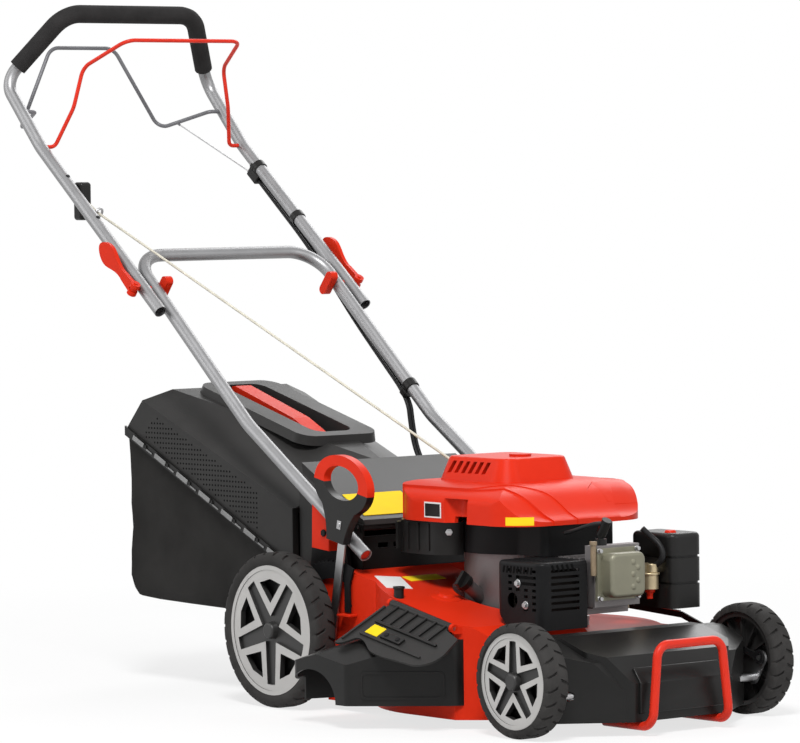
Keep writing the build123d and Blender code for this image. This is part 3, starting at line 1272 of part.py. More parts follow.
# Bails: the red one stops the engine when let go, the grey one drives the wheels
red_half = [
    (RED_PIVOT[0], -UPPER_HALF_W + 5, RED_PIVOT[1]),
    (RED_PIVOT[0], -UPPER_HALF_W + 30, RED_PIVOT[1]),
    (RED_PIVOT[0] + 28, -UPPER_HALF_W + 52, RED_PIVOT[1] + 68),
    (RED_PIVOT[0] + 36, -UPPER_HALF_W + 68, RED_PIVOT[1] + 138),
    (RED_PIVOT[0] + 127, -UPPER_HALF_W + 98, RED_PIVOT[1] + 183),
]
with BuildPart() as red_bail:
    bent(mirrored(red_half), [12, 60, 30, 25, 25, 30, 60, 12], BAIL_R)
keep(red_bail, "red_bail")

grey_half = [
    (GREY_PIVOT[0], -UPPER_HALF_W + 5, GREY_PIVOT[1]),
    (GREY_PIVOT[0], -UPPER_HALF_W + 30, GREY_PIVOT[1]),
    (GREY_PIVOT[0] - 104, -UPPER_HALF_W + 68, GREY_PIVOT[1] - 29.3),
    (GREY_PIVOT[0] - 126, -UPPER_HALF_W + 151, GREY_PIVOT[1] + 116.7),
]
WIRE_R = 1.2
HOOK_SHARE = 0.65
hook = Vector(*grey_half[1]) * (1 - HOOK_SHARE) + Vector(*grey_half[2]) * HOOK_SHARE
hook = Vector(hook.X, -hook.Y, hook.Z)
holder = Vector(UPPER_BEND[0] + 32, UPPER_HALF_W - 4, UPPER_BEND[1] - 50)
wire_run = (holder - hook).normalized()
with BuildPart() as grey_bail:
    bent(mirrored(grey_half), [12, 22, 30, 30, 22, 12], BAIL_R)
    rod(tuple(hook), tuple(hook + wire_run * 9), 2)
keep(grey_bail, "grey_bail")

with BuildPart() as drive_wire:
    rod(tuple(hook + wire_run * 9.4), tuple(holder), WIRE_R)
keep(drive_wire, "drive_wire")

# Starter rope, its guide on the right leg, and its grip
ROPE_R = 2.2
ROPE_MOUTH = (BLADE_X - 137, -6, 387)
RING = (UPPER_BEND[0] + 138, -UPPER_HALF_W + 24, UPPER_BEND[1] - 116)
ROPE_END = (RING[0] - 35, RING[1], RING[2] + 20)
with BuildPart() as rope_guide:
    rope_run = Vector(*RING) - Vector(*ROPE_MOUTH)
    with Locations(Plane(origin=RING, z_dir=rope_run).location):
        Torus(9, 2.2)
    leg_z = UPPER_FOOT[1] + (UPPER_FOOT[0] - RING[0]) * leg_run.Z / -leg_run.X
    leg = Vector(RING[0], -UPPER_HALF_W, leg_z)
    rod((RING[0], -UPPER_HALF_W + 6, leg_z), (RING[0], RING[1] - 9, RING[2]), 2.2)
    rod(tuple(leg - leg_run * 30), tuple(leg + leg_run * 30), TUBE_R, mode=Mode.SUBTRACT)
keep(rope_guide, "rope_guide")

with BuildPart() as starter_grip:
    slab((ROPE_END[0] - 25, ROPE_END[0]), (ROPE_END[1] - 12, ROPE_END[1] + 12), (ROPE_END[2] - 32, ROPE_END[2] + 34))
    fillet(starter_grip.edges(), 6)
keep(starter_grip, "starter_grip")

with BuildPart() as starter_rope:
    rope_tail = Vector(*ROPE_END) - (Vector(*ROPE_END) - Vector(*RING)).normalized() * 2
    bent([ROPE_MOUTH, RING, tuple(rope_tail)], 34, ROPE_R)
keep(starter_rope, "starter_rope")

# Control cables on the left: under the upper leg, past the fold, and down to the deck
CABLE_R = 3
CABLE_STEP = 3.6


def under(x, line_from, line_to, drop=17.5):
    """A point below a handle leg, square to the leg, given the leg's own x."""
    run = Vector(line_to[0] - line_from[0], line_to[1] - line_from[1]).normalized()
    z = line_from[1] + (x - line_from[0]) * run.Y / run.X
    return x - drop * run.Y, z + drop * run.X


cable_side_view = [
    (*under(UPPER_BEND[0] + 48, UPPER_FOOT, UPPER_BEND), UPPER_HALF_W),
    (*under(UPPER_BEND[0] + 120, UPPER_FOOT, UPPER_BEND, 18), UPPER_HALF_W),
    (*under(UPPER_BEND[0] + 200, UPPER_FOOT, UPPER_BEND), UPPER_HALF_W - 1),
    (*under(FOLD[0] - 17, UPPER_FOOT, UPPER_BEND, 20), UPPER_HALF_W - 9),
    (*under(FOLD[0] + 58, LOWER_BEND, CROSSBAR, 19), LOWER_HALF_W + 5),
    (*under(LOWER_BEND[0] - 120, LOWER_BEND, CROSSBAR), LOWER_HALF_W),
    (*under(LOWER_BEND[0] - 47, LOWER_BEND, CROSSBAR), LOWER_HALF_W - 2),
    (LOWER_BEND[0] - 48, 436, LOWER_HALF_W - 5),
    (LOWER_BEND[0] - 34, 388, LOWER_HALF_W - 5.5),
    (LOWER_BEND[0] + 10, 336, LOWER_HALF_W - 5.5),
    (LOWER_BEND[0] + 72, 294, LOWER_HALF_W - 5),
    (LOWER_BEND[0] + 142, 264, LOWER_HALF_W - 4.5),
    (LOWER_BEND[0] + 202, 246, LOWER_HALF_W - 4),
    (LOWER_BEND[0] + 240, TUNNEL_TOP + 2, LOWER_HALF_W - 5),
]
with BuildPart() as control_cables:
    for lane in (-CABLE_STEP, CABLE_STEP):
        route = [(x, y + lane, z) for x, z, y in cable_side_view]
        bent(route, cord_radii(route), CABLE_R)
keep(control_cables, "control_cables")

with BuildPart() as cable_clips:
    for x in (UPPER_BEND[0] + 54, UPPER_BEND[0] + 165):
        z = UPPER_FOOT[1] + (x - UPPER_FOOT[0]) * leg_run.Z / leg_run.X
        start = Vector(x, UPPER_HALF_W, z)
        with BuildSketch(Plane(origin=start, z_dir=leg_run)):
            Circle(TUBE_R + 2)
            Circle(TUBE_R, mode=Mode.SUBTRACT)
        extrude(amount=12)
keep(cable_clips, "cable_clips")
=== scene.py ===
"""Petrol lawn mower: finishes, tyres, cloth, cords and trim on the mower's frame."""

import math

import bmesh
import bpy
from mathutils import Matrix, Vector


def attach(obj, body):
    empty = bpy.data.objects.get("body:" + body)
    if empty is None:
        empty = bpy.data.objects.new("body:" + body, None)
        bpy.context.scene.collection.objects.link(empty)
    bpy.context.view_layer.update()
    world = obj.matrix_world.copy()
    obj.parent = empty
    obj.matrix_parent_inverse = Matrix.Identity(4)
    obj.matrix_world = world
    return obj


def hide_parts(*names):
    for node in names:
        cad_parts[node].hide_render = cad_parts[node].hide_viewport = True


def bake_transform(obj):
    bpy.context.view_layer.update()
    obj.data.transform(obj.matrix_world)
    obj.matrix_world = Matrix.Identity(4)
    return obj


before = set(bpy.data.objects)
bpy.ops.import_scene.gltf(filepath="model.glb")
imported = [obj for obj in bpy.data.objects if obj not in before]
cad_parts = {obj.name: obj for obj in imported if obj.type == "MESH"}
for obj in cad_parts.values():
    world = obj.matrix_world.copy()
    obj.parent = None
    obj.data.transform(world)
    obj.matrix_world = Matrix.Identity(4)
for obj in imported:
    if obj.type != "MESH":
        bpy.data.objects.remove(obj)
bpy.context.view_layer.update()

bl_info = {
    "name": "Petrol lawn mower",
    "version": (1, 0, 0),
    "blender": (4, 5, 0),
    "location": "View3D > Sidebar > Mower",
    "description": "Dresses a walk-behind lawn mower with finishes, tyres, cloth, cords and trim",
    "category": "Object",
}

MM = 0.001
# wheels: middle of the axle, distance of the outer face from the middle plane, radius
REAR_AXLE, REAR_FACE, REAR_RADIUS = Vector((-0.302, 0, 0.127)), 0.264, 0.127
FRONT_AXLE, FRONT_FACE, FRONT_RADIUS = Vector((0.302, 0, 0.089)), 0.258, 0.089
WHEELS = (
    ("rear_right", REAR_AXLE, -1, REAR_FACE, REAR_RADIUS),
    ("rear_left", REAR_AXLE, 1, REAR_FACE, REAR_RADIUS),
    ("front_right", FRONT_AXLE, -1, FRONT_FACE, FRONT_RADIUS),
    ("front_left", FRONT_AXLE, 1, FRONT_FACE, FRONT_RADIUS),
)
# the paint on a rim: depth of the star below the face, radius of the hub, and the least product of the
# normal's and the place's Y on a face that looks outwards
STAR_DEPTH, HUB_RADIUS, OUTWARDS = 0.0075, 0.0178, 0.05
# the bag in millimetres: x of its front, and the seam's height there, rise and run
BAG_FRONT, SEAM_LOW, SEAM_RISE, SEAM_RUN = -347.0, 219, 212, 465
# the starter rope's mouth, ring and grip, and the drive wire's ends, in millimetres
ROPE_MOUTH, ROPE_RING, ROPE_GRIP = (-112, -6, 387), (-862, -196, 806), (-896, -196, 825)
WIRE_HOLDER, WIRE_HOOK = (-968, 216, 872), (-1117.4, 168.0, 960.5)
# directions along the upper and the lower legs, and out of them
LEG, LEG_OUT = (-0.7787, 0, 0.6274), (0.6274, 0, 0.7787)
LOWER_LEG, LOWER_LEG_OUT = (-0.757, 0, 0.6535), (0.6535, 0, 0.757)


def colour(name, description, default):
    """A colour that the panel offers."""
    return bpy.props.FloatVectorProperty(
        name=name, description=description, subtype="COLOR", size=3, min=0, max=1, default=default
    )


def distance(name, description, default, low, high):
    """A length in metres that the panel offers."""
    return bpy.props.FloatProperty(
        name=name, description=description, default=default, min=low, max=high,
        subtype="DISTANCE", unit="LENGTH",
    )


class MowerColours(bpy.types.PropertyGroup):
    """Colours of the mower's finishes."""

    deck_red: colour("Deck", "Enamel on the deck", (0.62, 0.026, 0.007))
    cover_red: colour("Cover", "Moulded engine cover and red fittings", (0.62, 0.026, 0.008))
    black: colour("Black plastic", "Moulded black plastic", (0.0100, 0.0097, 0.0094))
    charcoal: colour("Charcoal plastic", "Bag lid and flaps", (0.027, 0.0263, 0.0257))
    rubber: colour("Rubber", "Tyres", (0.038, 0.0365, 0.0355))
    silver: colour("Wheel silver", "Painted face of the wheels", (0.42, 0.412, 0.40))
    tube: colour("Tube", "Plated handle tube", (0.26, 0.26, 0.265))
    cloth: colour("Cloth", "Woven sack of the grass bag", (0.023, 0.0222, 0.0215))
    rope: colour("Rope", "Starter rope", (0.62, 0.59, 0.50))


class MowerSizes(bpy.types.PropertyGroup):
    """Sizes of the pieces that dress the mower."""

    rear_lugs: bpy.props.IntProperty(
        name="Rear lugs", description="Tread lugs a side on a rear tyre", default=30, min=8
    )
    front_lugs: bpy.props.IntProperty(
        name="Front lugs", description="Tread lugs a side on a front tyre", default=24, min=8
    )
    tread: distance("Tread", "Depth of the tread", 0.0032, 0.001, 0.01)
    foam: distance("Foam", "Radius of the foam on the grip", 0.016, 0.012, 0.03)
    sag: distance("Sag", "How far the sack's walls hang in", 0.009, 0.0, 0.03)
    cable: distance("Cable", "Radius of a control cable", 0.003, 0.001, 0.006)
    rope: distance("Rope", "Radius of the starter rope", 0.0022, 0.001, 0.005)


def colours():
    """The colours that the panel holds."""
    return bpy.context.scene.mower_colours


def sizes():
    """The sizes that the panel holds."""
    return bpy.context.scene.mower_sizes


def shade(colour, gain):
    """A colour made lighter or darker, with its alpha."""
    return tuple(min(1.0, c * gain) for c in colour) + (1.0,)


def finish(
    name, colour, roughness, metallic=0.0, grain=900.0, relief=0.12, depth=0.0004, mottle=9.0, tone=0.10,
    spread=0.08, stretch=(1, 1, 1), specular=0.5,
):
    """A painted, moulded or metal finish: mottled tone, uneven gloss and a fine grain."""
    name = f"mower_{name}"  # the frame's own materials have some of the plain names
    known = bpy.data.materials.get(name)
    if known:
        return known
    material = bpy.data.materials.new(name)
    material.use_nodes = True
    tree = material.node_tree
    shader = tree.nodes["Principled BSDF"]
    shader.inputs["Metallic"].default_value = metallic
    shader.inputs["Specular IOR Level"].default_value = specular
    place = tree.nodes.new("ShaderNodeTexCoord")
    turn = tree.nodes.new("ShaderNodeMapping")
    turn.inputs["Scale"].default_value = stretch
    tree.links.new(place.outputs["Object"], turn.inputs["Vector"])
    patches = tree.nodes.new("ShaderNodeTexNoise")
    patches.inputs["Scale"].default_value = mottle
    patches.inputs["Detail"].default_value = 5
    ramp = tree.nodes.new("ShaderNodeValToRGB")
    ramp.color_ramp.elements[0].position = 0.30
    ramp.color_ramp.elements[0].color = shade(colour, 1 - tone)
    ramp.color_ramp.elements[1].position = 0.70
    ramp.color_ramp.elements[1].color = shade(colour, 1 + tone)
    tree.links.new(place.outputs["Object"], patches.inputs["Vector"])
    tree.links.new(patches.outputs["Fac"], ramp.inputs["Fac"])
    tree.links.new(ramp.outputs["Color"], shader.inputs["Base Color"])
    gloss = tree.nodes.new("ShaderNodeMapRange")
    gloss.inputs["To Min"].default_value = max(0.02, roughness - spread)
    gloss.inputs["To Max"].default_value = min(1.0, roughness + spread)
    tree.links.new(patches.outputs["Fac"], gloss.inputs["Value"])
    tree.links.new(gloss.outputs["Result"], shader.inputs["Roughness"])
    grains = tree.nodes.new("ShaderNodeTexNoise")
    grains.inputs["Scale"].default_value = grain
    grains.inputs["Detail"].default_value = 3
    tree.links.new(turn.outputs["Vector"], grains.inputs["Vector"])
    bump = tree.nodes.new("ShaderNodeBump")
    bump.inputs["Strength"].default_value = relief
    bump.inputs["Distance"].default_value = depth
    tree.links.new(grains.outputs["Fac"], bump.inputs["Height"])
    tree.links.new(bump.outputs["Normal"], shader.inputs["Normal"])
    return material


def deck_enamel():
    return finish(
        "deck_enamel", colours().deck_red, 0.40, grain=260, relief=0.05, mottle=6, tone=0.06, specular=0.06
    )


def cover_gloss():
    return finish(
        "cover_gloss", colours().cover_red, 0.36, grain=700, relief=0.06, mottle=7, tone=0.06, specular=0.09
    )


def black_plastic():
    return finish(
        "black_plastic", colours().black, 0.34, grain=1500, relief=0.10, mottle=14, tone=0.18, specular=0.20
    )


def charcoal_plastic():
    return finish(
        "charcoal_plastic", colours().charcoal, 0.36, grain=1300, relief=0.12, mottle=12, tone=0.14,
        specular=0.12,
    )


def tyre_rubber():
    return finish(
        "tyre_rubber", colours().rubber, 0.66, grain=700, relief=0.20, mottle=20, tone=0.22, specular=0.05
    )


def math_node(tree, operation, *values):
    """The result of a Math node on sockets and numbers."""
    node = tree.nodes.new("ShaderNodeMath")
    node.operation = operation
    for socket, value in zip(node.inputs, values):
        if isinstance(value, float):
            socket.default_value = value
        else:
            tree.links.new(value, socket)
    return node.outputs[0]


def wheel_paint(name, axle, face):
    """Silver on the raised face of a rim, charcoal on its hub, its star and its back."""
    material = finish(
        name, colours().silver, 0.40, metallic=0.22, grain=1200, relief=0.05, mottle=18, tone=0.05
    )
    tree = material.node_tree
    if "star" in tree.nodes:
        return material
    place = tree.nodes.new("ShaderNodeTexCoord")
    split = tree.nodes.new("ShaderNodeSeparateXYZ")
    tree.links.new(place.outputs["Object"], split.inputs["Vector"])
    facing = tree.nodes.new("ShaderNodeSeparateXYZ")
    tree.links.new(tree.nodes.new("ShaderNodeNewGeometry").outputs["Normal"], facing.inputs["Vector"])
    across = math_node(tree, "SUBTRACT", split.outputs["X"], axle.x)
    above = math_node(tree, "SUBTRACT", split.outputs["Z"], axle.z)
    across_squared = math_node(tree, "MULTIPLY", across, across)
    above_squared = math_node(tree, "MULTIPLY", above, above)
    radius = math_node(tree, "SQRT", math_node(tree, "ADD", across_squared, above_squared))
    past_hub = math_node(tree, "GREATER_THAN", radius, HUB_RADIUS)
    out = math_node(tree, "ABSOLUTE", split.outputs["Y"])
    raised = math_node(tree, "GREATER_THAN", out, face - STAR_DEPTH)
    slope = math_node(tree, "MULTIPLY", facing.outputs["Y"], split.outputs["Y"])
    outwards = math_node(tree, "GREATER_THAN", slope, OUTWARDS)
    star = tree.nodes.new("ShaderNodeMix")
    star.name = "star"
    star.data_type = "RGBA"
    silvered = math_node(tree, "MULTIPLY", math_node(tree, "MULTIPLY", raised, past_hub), outwards)
    tree.links.new(silvered, star.inputs["Factor"])
    star.inputs["A"].default_value = shade(colours().charcoal, 0.9)
    shader = tree.nodes["Principled BSDF"]
    tree.links.new(shader.inputs["Base Color"].links[0].from_socket, star.inputs["B"])
    tree.links.new(star.outputs["Result"], shader.inputs["Base Color"])
    return material


def rear_rim():
    return wheel_paint("rear_rim", REAR_AXLE, REAR_FACE)


def front_rim():
    return wheel_paint("front_rim", FRONT_AXLE, FRONT_FACE)


def tube_plating():
    return finish(
        "tube_plating", colours().tube, 0.42, metallic=0.8, grain=500, relief=0.004, mottle=30, tone=0.04,
        stretch=(0.2, 3, 0.2),
    )


def black_enamel():
    return finish(
        "black_enamel", (0.010, 0.010, 0.0105), 0.38, grain=800, relief=0.12, mottle=16, tone=0.2,
        specular=0.08,
    )


def bare_steel():
    return finish(
        "bare_steel", (0.42, 0.42, 0.425), 0.34, metallic=1.0, grain=400, relief=0.07, mottle=40, tone=0.10
    )


def cast_alloy():
    return finish(
        "cast_alloy", (0.19, 0.178, 0.178), 0.55, metallic=0.75, grain=520, relief=0.45, depth=0.0006,
        tone=0.14,
    )


def pressed_alloy():
    return finish(
        "pressed_alloy", (0.20, 0.194, 0.140), 0.46, metallic=0.35, grain=700, relief=0.08, mottle=22,
        tone=0.10,
    )


def carburettor_brass():
    return finish(
        "carburettor_brass", (0.46, 0.38, 0.24), 0.44, metallic=0.8, grain=600, relief=0.2, mottle=40,
        tone=0.2,
    )


def silencer_steel():
    return finish(
        "silencer_steel", (0.022, 0.018, 0.016), 0.7, metallic=0.2, grain=300, relief=0.2, mottle=30,
        tone=0.3, specular=0.1,
    )


def grip_foam():
    return finish(
        "grip_foam", (0.024, 0.023, 0.023), 0.80, grain=1600, relief=0.6, depth=0.0006, mottle=30,
        tone=0.2, specular=0.10,
    )


def bail_red():
    return finish(
        "bail_red", (0.62, 0.026, 0.010), 0.38, grain=500, relief=0.08, mottle=18, tone=0.07, specular=0.2
    )


def bail_grey():
    return finish(
        "bail_grey", (0.13, 0.13, 0.14), 0.45, metallic=0.2, grain=600, relief=0.10, mottle=20, tone=0.15
    )


def cable_sheath():
    return finish(
        "cable_sheath", (0.012, 0.012, 0.0125), 0.45, grain=900, relief=0.10, mottle=40, tone=0.2,
        specular=0.16,
    )


def rope_braid():
    return finish(
        "rope_braid", colours().rope, 0.85, grain=1800, relief=0.5, depth=0.0005, mottle=60, tone=0.15
    )


def sack_cloth():
    return finish(
        "sack_cloth", colours().cloth, 0.85, grain=1600, relief=0.5, depth=0.0006, mottle=10, tone=0.25,
        specular=0.06,
    )


def plate_white():
    return finish(
        "plate_white", (0.74, 0.74, 0.73), 0.42, grain=900, relief=0.03, mottle=30, tone=0.03, specular=0.3
    )


def plate_yellow():
    return finish(
        "plate_yellow", (0.86, 0.62, 0.02), 0.6, grain=900, relief=0.03, mottle=30, tone=0.04, specular=0.05
    )


def clip_grey():
    return finish(
        "clip_grey", (0.20, 0.20, 0.20), 0.45, grain=1200, relief=0.12, mottle=30, tone=0.12, specular=0.3
    )


# near-black painted shade, laid as dark discs and plates where the lid's wall has holes and the guard has
# slots
def painted_hole_shade():
    return finish(
        "painted_hole_shade", (0.004, 0.004, 0.004), 0.9, grain=900, relief=0.05, mottle=30, tone=0.1, specular=0.05
    )


def breather_tan():
    return finish(
        "breather_tan", (0.22, 0.165, 0.105), 0.5, grain=800, relief=0.15, mottle=60, tone=0.2, specular=0.3
    )


NODE_FINISHES = {
    deck_enamel: ("deck_shell",),
    cover_gloss: (
        "engine_cover", "handle_clamps", "clamp_screws", "bag_handle", "lever_loop", "cam_right", "cam_left",
    ),
    black_plastic: (
        "front_cover", "deck_rear_cover", "side_chute", "fuel_tank", "fuel_cap", "oil_cap", "spark_plug",
        "air_filter", "lever_grip", "starter_grip", "cable_clips", "bag_frame", "drive_gearbox",
    ),
    charcoal_plastic: ("side_flap", "rear_flap", "bag_lid"),
    black_enamel: (
        "handle_brackets", "height_quadrant", "blower_housing", "muffler_guard", "height_link", "blade",
    ),
    tube_plating: ("lower_handle", "upper_handle"),
    bare_steel: (
        "hinge_rods", "crankshaft", "blade_adapter", "blade_bolt", "rear_axle", "front_axle", "lever_strip",
        "rope_guide",
    ),
    cast_alloy: ("engine_block",),
    pressed_alloy: ("valve_cover",),
    carburettor_brass: ("carburettor",),
    silencer_steel: ("muffler",),
    bail_red: ("red_bail", "front_bumper"),
    bail_grey: ("grey_bail",),
    rear_rim: ("rim_rear_right", "rim_rear_left"),
    front_rim: ("rim_front_right", "rim_front_left"),
}


def shown(name, mesh, material, body=None, smooth=True):
    """Put a mesh in the scene as a piece that rides on a body of the mower."""
    piece = bpy.data.objects.new(name, mesh)
    bpy.context.scene.collection.objects.link(piece)
    mesh.materials.append(material)
    if smooth:
        mesh.shade_smooth()
        mesh.set_sharp_from_angle(angle=math.radians(40))
    if body:
        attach(piece, body)
    return piece


def made(name, bm, material, body=None, smooth=True, bevel=0.0):
    """Turn a bmesh into a piece, its seams merged and its edges rounded."""
    bmesh.ops.remove_doubles(bm, verts=bm.verts, dist=1e-6)
    bmesh.ops.recalc_face_normals(bm, faces=bm.faces)
    mesh = bpy.data.meshes.new(name)
    bm.to_mesh(mesh)
    bm.free()
    piece = shown(name, mesh, material, body, smooth)
    if bevel:
        rounding = piece.modifiers.new("rounding", "BEVEL")
        rounding.width = bevel
        rounding.segments = 2
        rounding.limit_method = "ANGLE"
    return piece


def at(place):
    """A point given in millimetres."""
    return Vector(place) * MM


def seam(x):
    """Height of the seam between the bag's lid and its sack, at a distance along the bag."""
    return SEAM_LOW + (BAG_FRONT - x) * SEAM_RISE / SEAM_RUN


def round_curve(name, radius, roundness, steps):
    """A curve that is swept to a round bar with closed ends."""
    line = bpy.data.curves.new(name, "CURVE")
    line.dimensions = "3D"
    line.bevel_depth = radius
    line.bevel_resolution = roundness
    line.resolution_u = steps
    line.use_fill_caps = True
    return line


def swept(line):
    """The mesh of a round curve, which is used up."""
    holder = bpy.data.objects.new(line.name, line)
    mesh = bpy.data.meshes.new_from_object(holder)
    bpy.data.objects.remove(holder)
    bpy.data.curves.remove(line)
    mesh.materials.clear()
    return mesh


def cord(name, routes, radius, material):
    """Round cords along their routes' points, as one mesh with no parent."""
    line = round_curve(name, radius, roundness=3, steps=6)
    for route in routes:
        spline = line.splines.new("NURBS")
        spline.points.add(len(route) - 1)
        for point, place in zip(spline.points, route):
            point.co = (*at(place), 1)
        spline.order_u = 3
        spline.use_endpoint_u = True
    return shown(name, swept(line), material)


def upright(place):
    """A frame that stands upright at a point in millimetres."""
    return Matrix.Translation(at(place))


def basis(origin, along, out):
    """A frame at a point in millimetres: X along, Z out of the surface."""
    z = Vector(out).normalized()
    x = (Vector(along) - z * Vector(along).dot(z)).normalized()
    turn = Matrix((x, z.cross(x), z)).transposed().to_4x4()
    return upright(origin) @ turn


def block(bm, size, place=Matrix.Identity(4), middle=(0, 0, 0)):
    """A box of a size in millimetres, about a point of a frame."""
    grow = Matrix.Diagonal((*at(size), 1))
    return bmesh.ops.create_cube(bm, size=1, matrix=place @ Matrix.Translation(at(middle)) @ grow)["verts"]


def stud(bm, radius, height, place=Matrix.Identity(4), middle=(0, 0, 0), top=None, sides=24):
    """A round or six-sided stud that stands on a point of a frame."""
    foot = place @ Matrix.Translation(at(middle) + Vector((0, 0, height * MM / 2)))
    return bmesh.ops.create_cone(
        bm, cap_ends=True, segments=sides, radius1=radius * MM, radius2=(radius if top is None else top) * MM,
        depth=height * MM, matrix=foot,
    )["verts"]


def outline(bm, corners, thickness, place=Matrix.Identity(4)):
    """A flat plate with an outline in millimetres on a frame, raised along its Z."""
    face = bm.faces.new([bm.verts.new(place @ at((*corner, 0))) for corner in corners])
    raised = bmesh.ops.extrude_face_region(bm, geom=[face])["geom"]
    lift = place.to_3x3() @ Vector((0, 0, thickness * MM))
    bmesh.ops.translate(bm, vec=lift, verts=[v for v in raised if isinstance(v, bmesh.types.BMVert)])


class MOWER_OT_finishes(bpy.types.Operator):
    """Give every piece of the frame its finish"""

    bl_idname = "mower.finishes"
    bl_label = "Finishes"

    def execute(self, context):
        for material, nodes in NODE_FINISHES.items():
            for node in nodes:
                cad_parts[node].material_slots[0].material = material()
        return {"FINISHED"}


class MOWER_OT_tyres(bpy.types.Operator):
    """Mould the treaded tyres"""

    bl_idname = "mower.tyres"
    bl_label = "Tyres"

    # share of a lug's pitch, and whether the outer and the inner row stand proud there
    STEPS = (
        (0.0, 1, 1), (0.04, 0, 1), (0.18, 0, 1), (0.22, 1, 1),
        (0.5, 1, 1), (0.54, 1, 0), (0.68, 1, 0), (0.72, 1, 1),
    )
    # the rim's share of the radius, how far the tyre is let into it, the tyre's width
    RIM_SHARE, LET_IN, WIDTH = 0.835, 0.0003, 0.044
    # how far the grooves slant across half the width, as a share of the pitch
    SLANT = 0.42

    def execute(self, context):
        for name, axle, side, face, radius in WHEELS:
            lugs = sizes().rear_lugs if radius == REAR_RADIUS else sizes().front_lugs
            bm = bmesh.new()
            self.sector(bm, axle, side, face, radius, math.tau / lugs)
            bmesh.ops.spin(
                bm, geom=bm.verts[:] + bm.edges[:] + bm.faces[:], cent=axle, axis=(0, 1, 0), dvec=(0, 0, 0),
                angle=math.tau * (lugs - 1) / lugs, steps=lugs - 1, use_duplicate=True,
            )
            bmesh.ops.remove_doubles(bm, verts=bm.verts, dist=1e-5)
            tyre = made(f"treaded_{name}", bm, tyre_rubber(), f"wheel_{name}")
            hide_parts(f"tyre_{name}")
        return {"FINISHED"}

    def section(self, radius):
        """Points of the section: radius, distance from the outer face, a groove's depth down and sideways."""
        rim = radius * self.RIM_SHARE - self.LET_IN
        deep = sizes().tread
        outer = (
            (rim, 0.004, 0, 0), (rim + 0.004, 0.0012, 0, 0), (radius - 0.013, 0.0, 0, 0),
            (radius - 0.0085, 0.0002, 0, 0.0004), (radius - 0.0035, 0.0020, 0.4 * deep, 0.0006),
            (radius - 0.0008, 0.006, deep, 0), (radius, 0.011, deep, 0), (radius, 0.0185, deep, 0),
            (radius, 0.0192, 0, 0),
        )
        return [*outer, *((r, self.WIDTH - w, dr, -dw) for r, w, dr, dw in reversed(outer))]

    def sector(self, bm, axle, side, face, radius, pitch):
        """One pitch of the tread: the section carried round, low where a row has its groove."""
        section = self.section(radius)
        half = len(section) // 2
        middle = self.WIDTH / 2
        rows = []
        for share, *proud in (*self.STEPS, (1.0, 1, 1)):
            row = []
            for k, (r, w, dr, dw) in enumerate(section):
                low = not proud[k >= half]
                # the two points beside the middle line stay where they are, so that the halves meet
                lean = abs(w - middle) / middle if dr or dw else float(k not in (half - 1, half))
                turn = pitch * (share + self.SLANT * lean)
                reach = r - low * dr
                across = side * (face - w - low * dw)
                row.append(axle + Vector((reach * math.sin(turn), across, reach * math.cos(turn))))
            rows.append(row)
        verts = [bm.verts.new(point) for point in rows[0]]
        edges = [bm.edges.new((a, b)) for a, b in zip(verts, verts[1:] + verts[:1])]
        for row in rows[1:]:
            fresh = bmesh.ops.extrude_edge_only(bm, edges=edges)["geom"]
            edges = [g for g in fresh if isinstance(g, bmesh.types.BMEdge)]
            moved = [g for g in fresh if isinstance(g, bmesh.types.BMVert)]
            for vert, point in zip(moved, row):
                vert.co = point


class MOWER_OT_foam(bpy.types.Operator):
    """Wrap the grip bar in foam"""

    bl_idname = "mower.foam"
    bl_label = "Foam grip"

    # the right end, the right corner before it is rounded, and the bend's radius, in millimetres
    START, CORNER, BEND = Vector((-1092.3, -203.1, 1063.0)), Vector((-1034, -140, 1156)), 55
    END_ROUND = 0.005

    def knots(self):
        """Points of the bar's middle line with their handles, from the right end to the left."""
        along = (self.CORNER - self.START).normalized()
        across = Vector((0, 1, 0))
        turn = along.angle(across)
        back = self.BEND * math.tan(turn / 2)
        pull = self.BEND * 4 / 3 * math.tan(turn / 4)
        right = [
            (self.START, along * 20),
            (self.CORNER - along * back, along * pull),
            (self.CORNER + across * back, across * pull),
        ]
        flip = Vector((1, -1, 1))
        return right + [(point * flip, -lead * flip) for point, lead in reversed(right)]

    def execute(self, context):
        knots = self.knots()
        line = round_curve("foam", sizes().foam, roundness=6, steps=10)
        spline = line.splines.new("BEZIER")
        spline.bezier_points.add(len(knots) - 1)
        for knot, (point, lead) in zip(spline.bezier_points, knots):
            knot.handle_left_type = knot.handle_right_type = "FREE"
            knot.co, knot.handle_left, knot.handle_right = at(point), at(point - lead), at(point + lead)
        rough = swept(line)
        bm = bmesh.new()
        bm.from_mesh(rough)
        bpy.data.meshes.remove(rough)
        bmesh.ops.remove_doubles(bm, verts=bm.verts, dist=1e-6)
        ends = {edge for face in bm.faces if len(face.verts) > 8 for edge in face.edges}
        bmesh.ops.bevel(
            bm, geom=list(ends), offset=self.END_ROUND, segments=4, profile=0.5, affect="EDGES", material=-1
        )
        foam = made("foam_sleeve", bm, grip_foam(), "upper_handle")
        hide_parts("foam_grip")
        return {"FINISHED"}


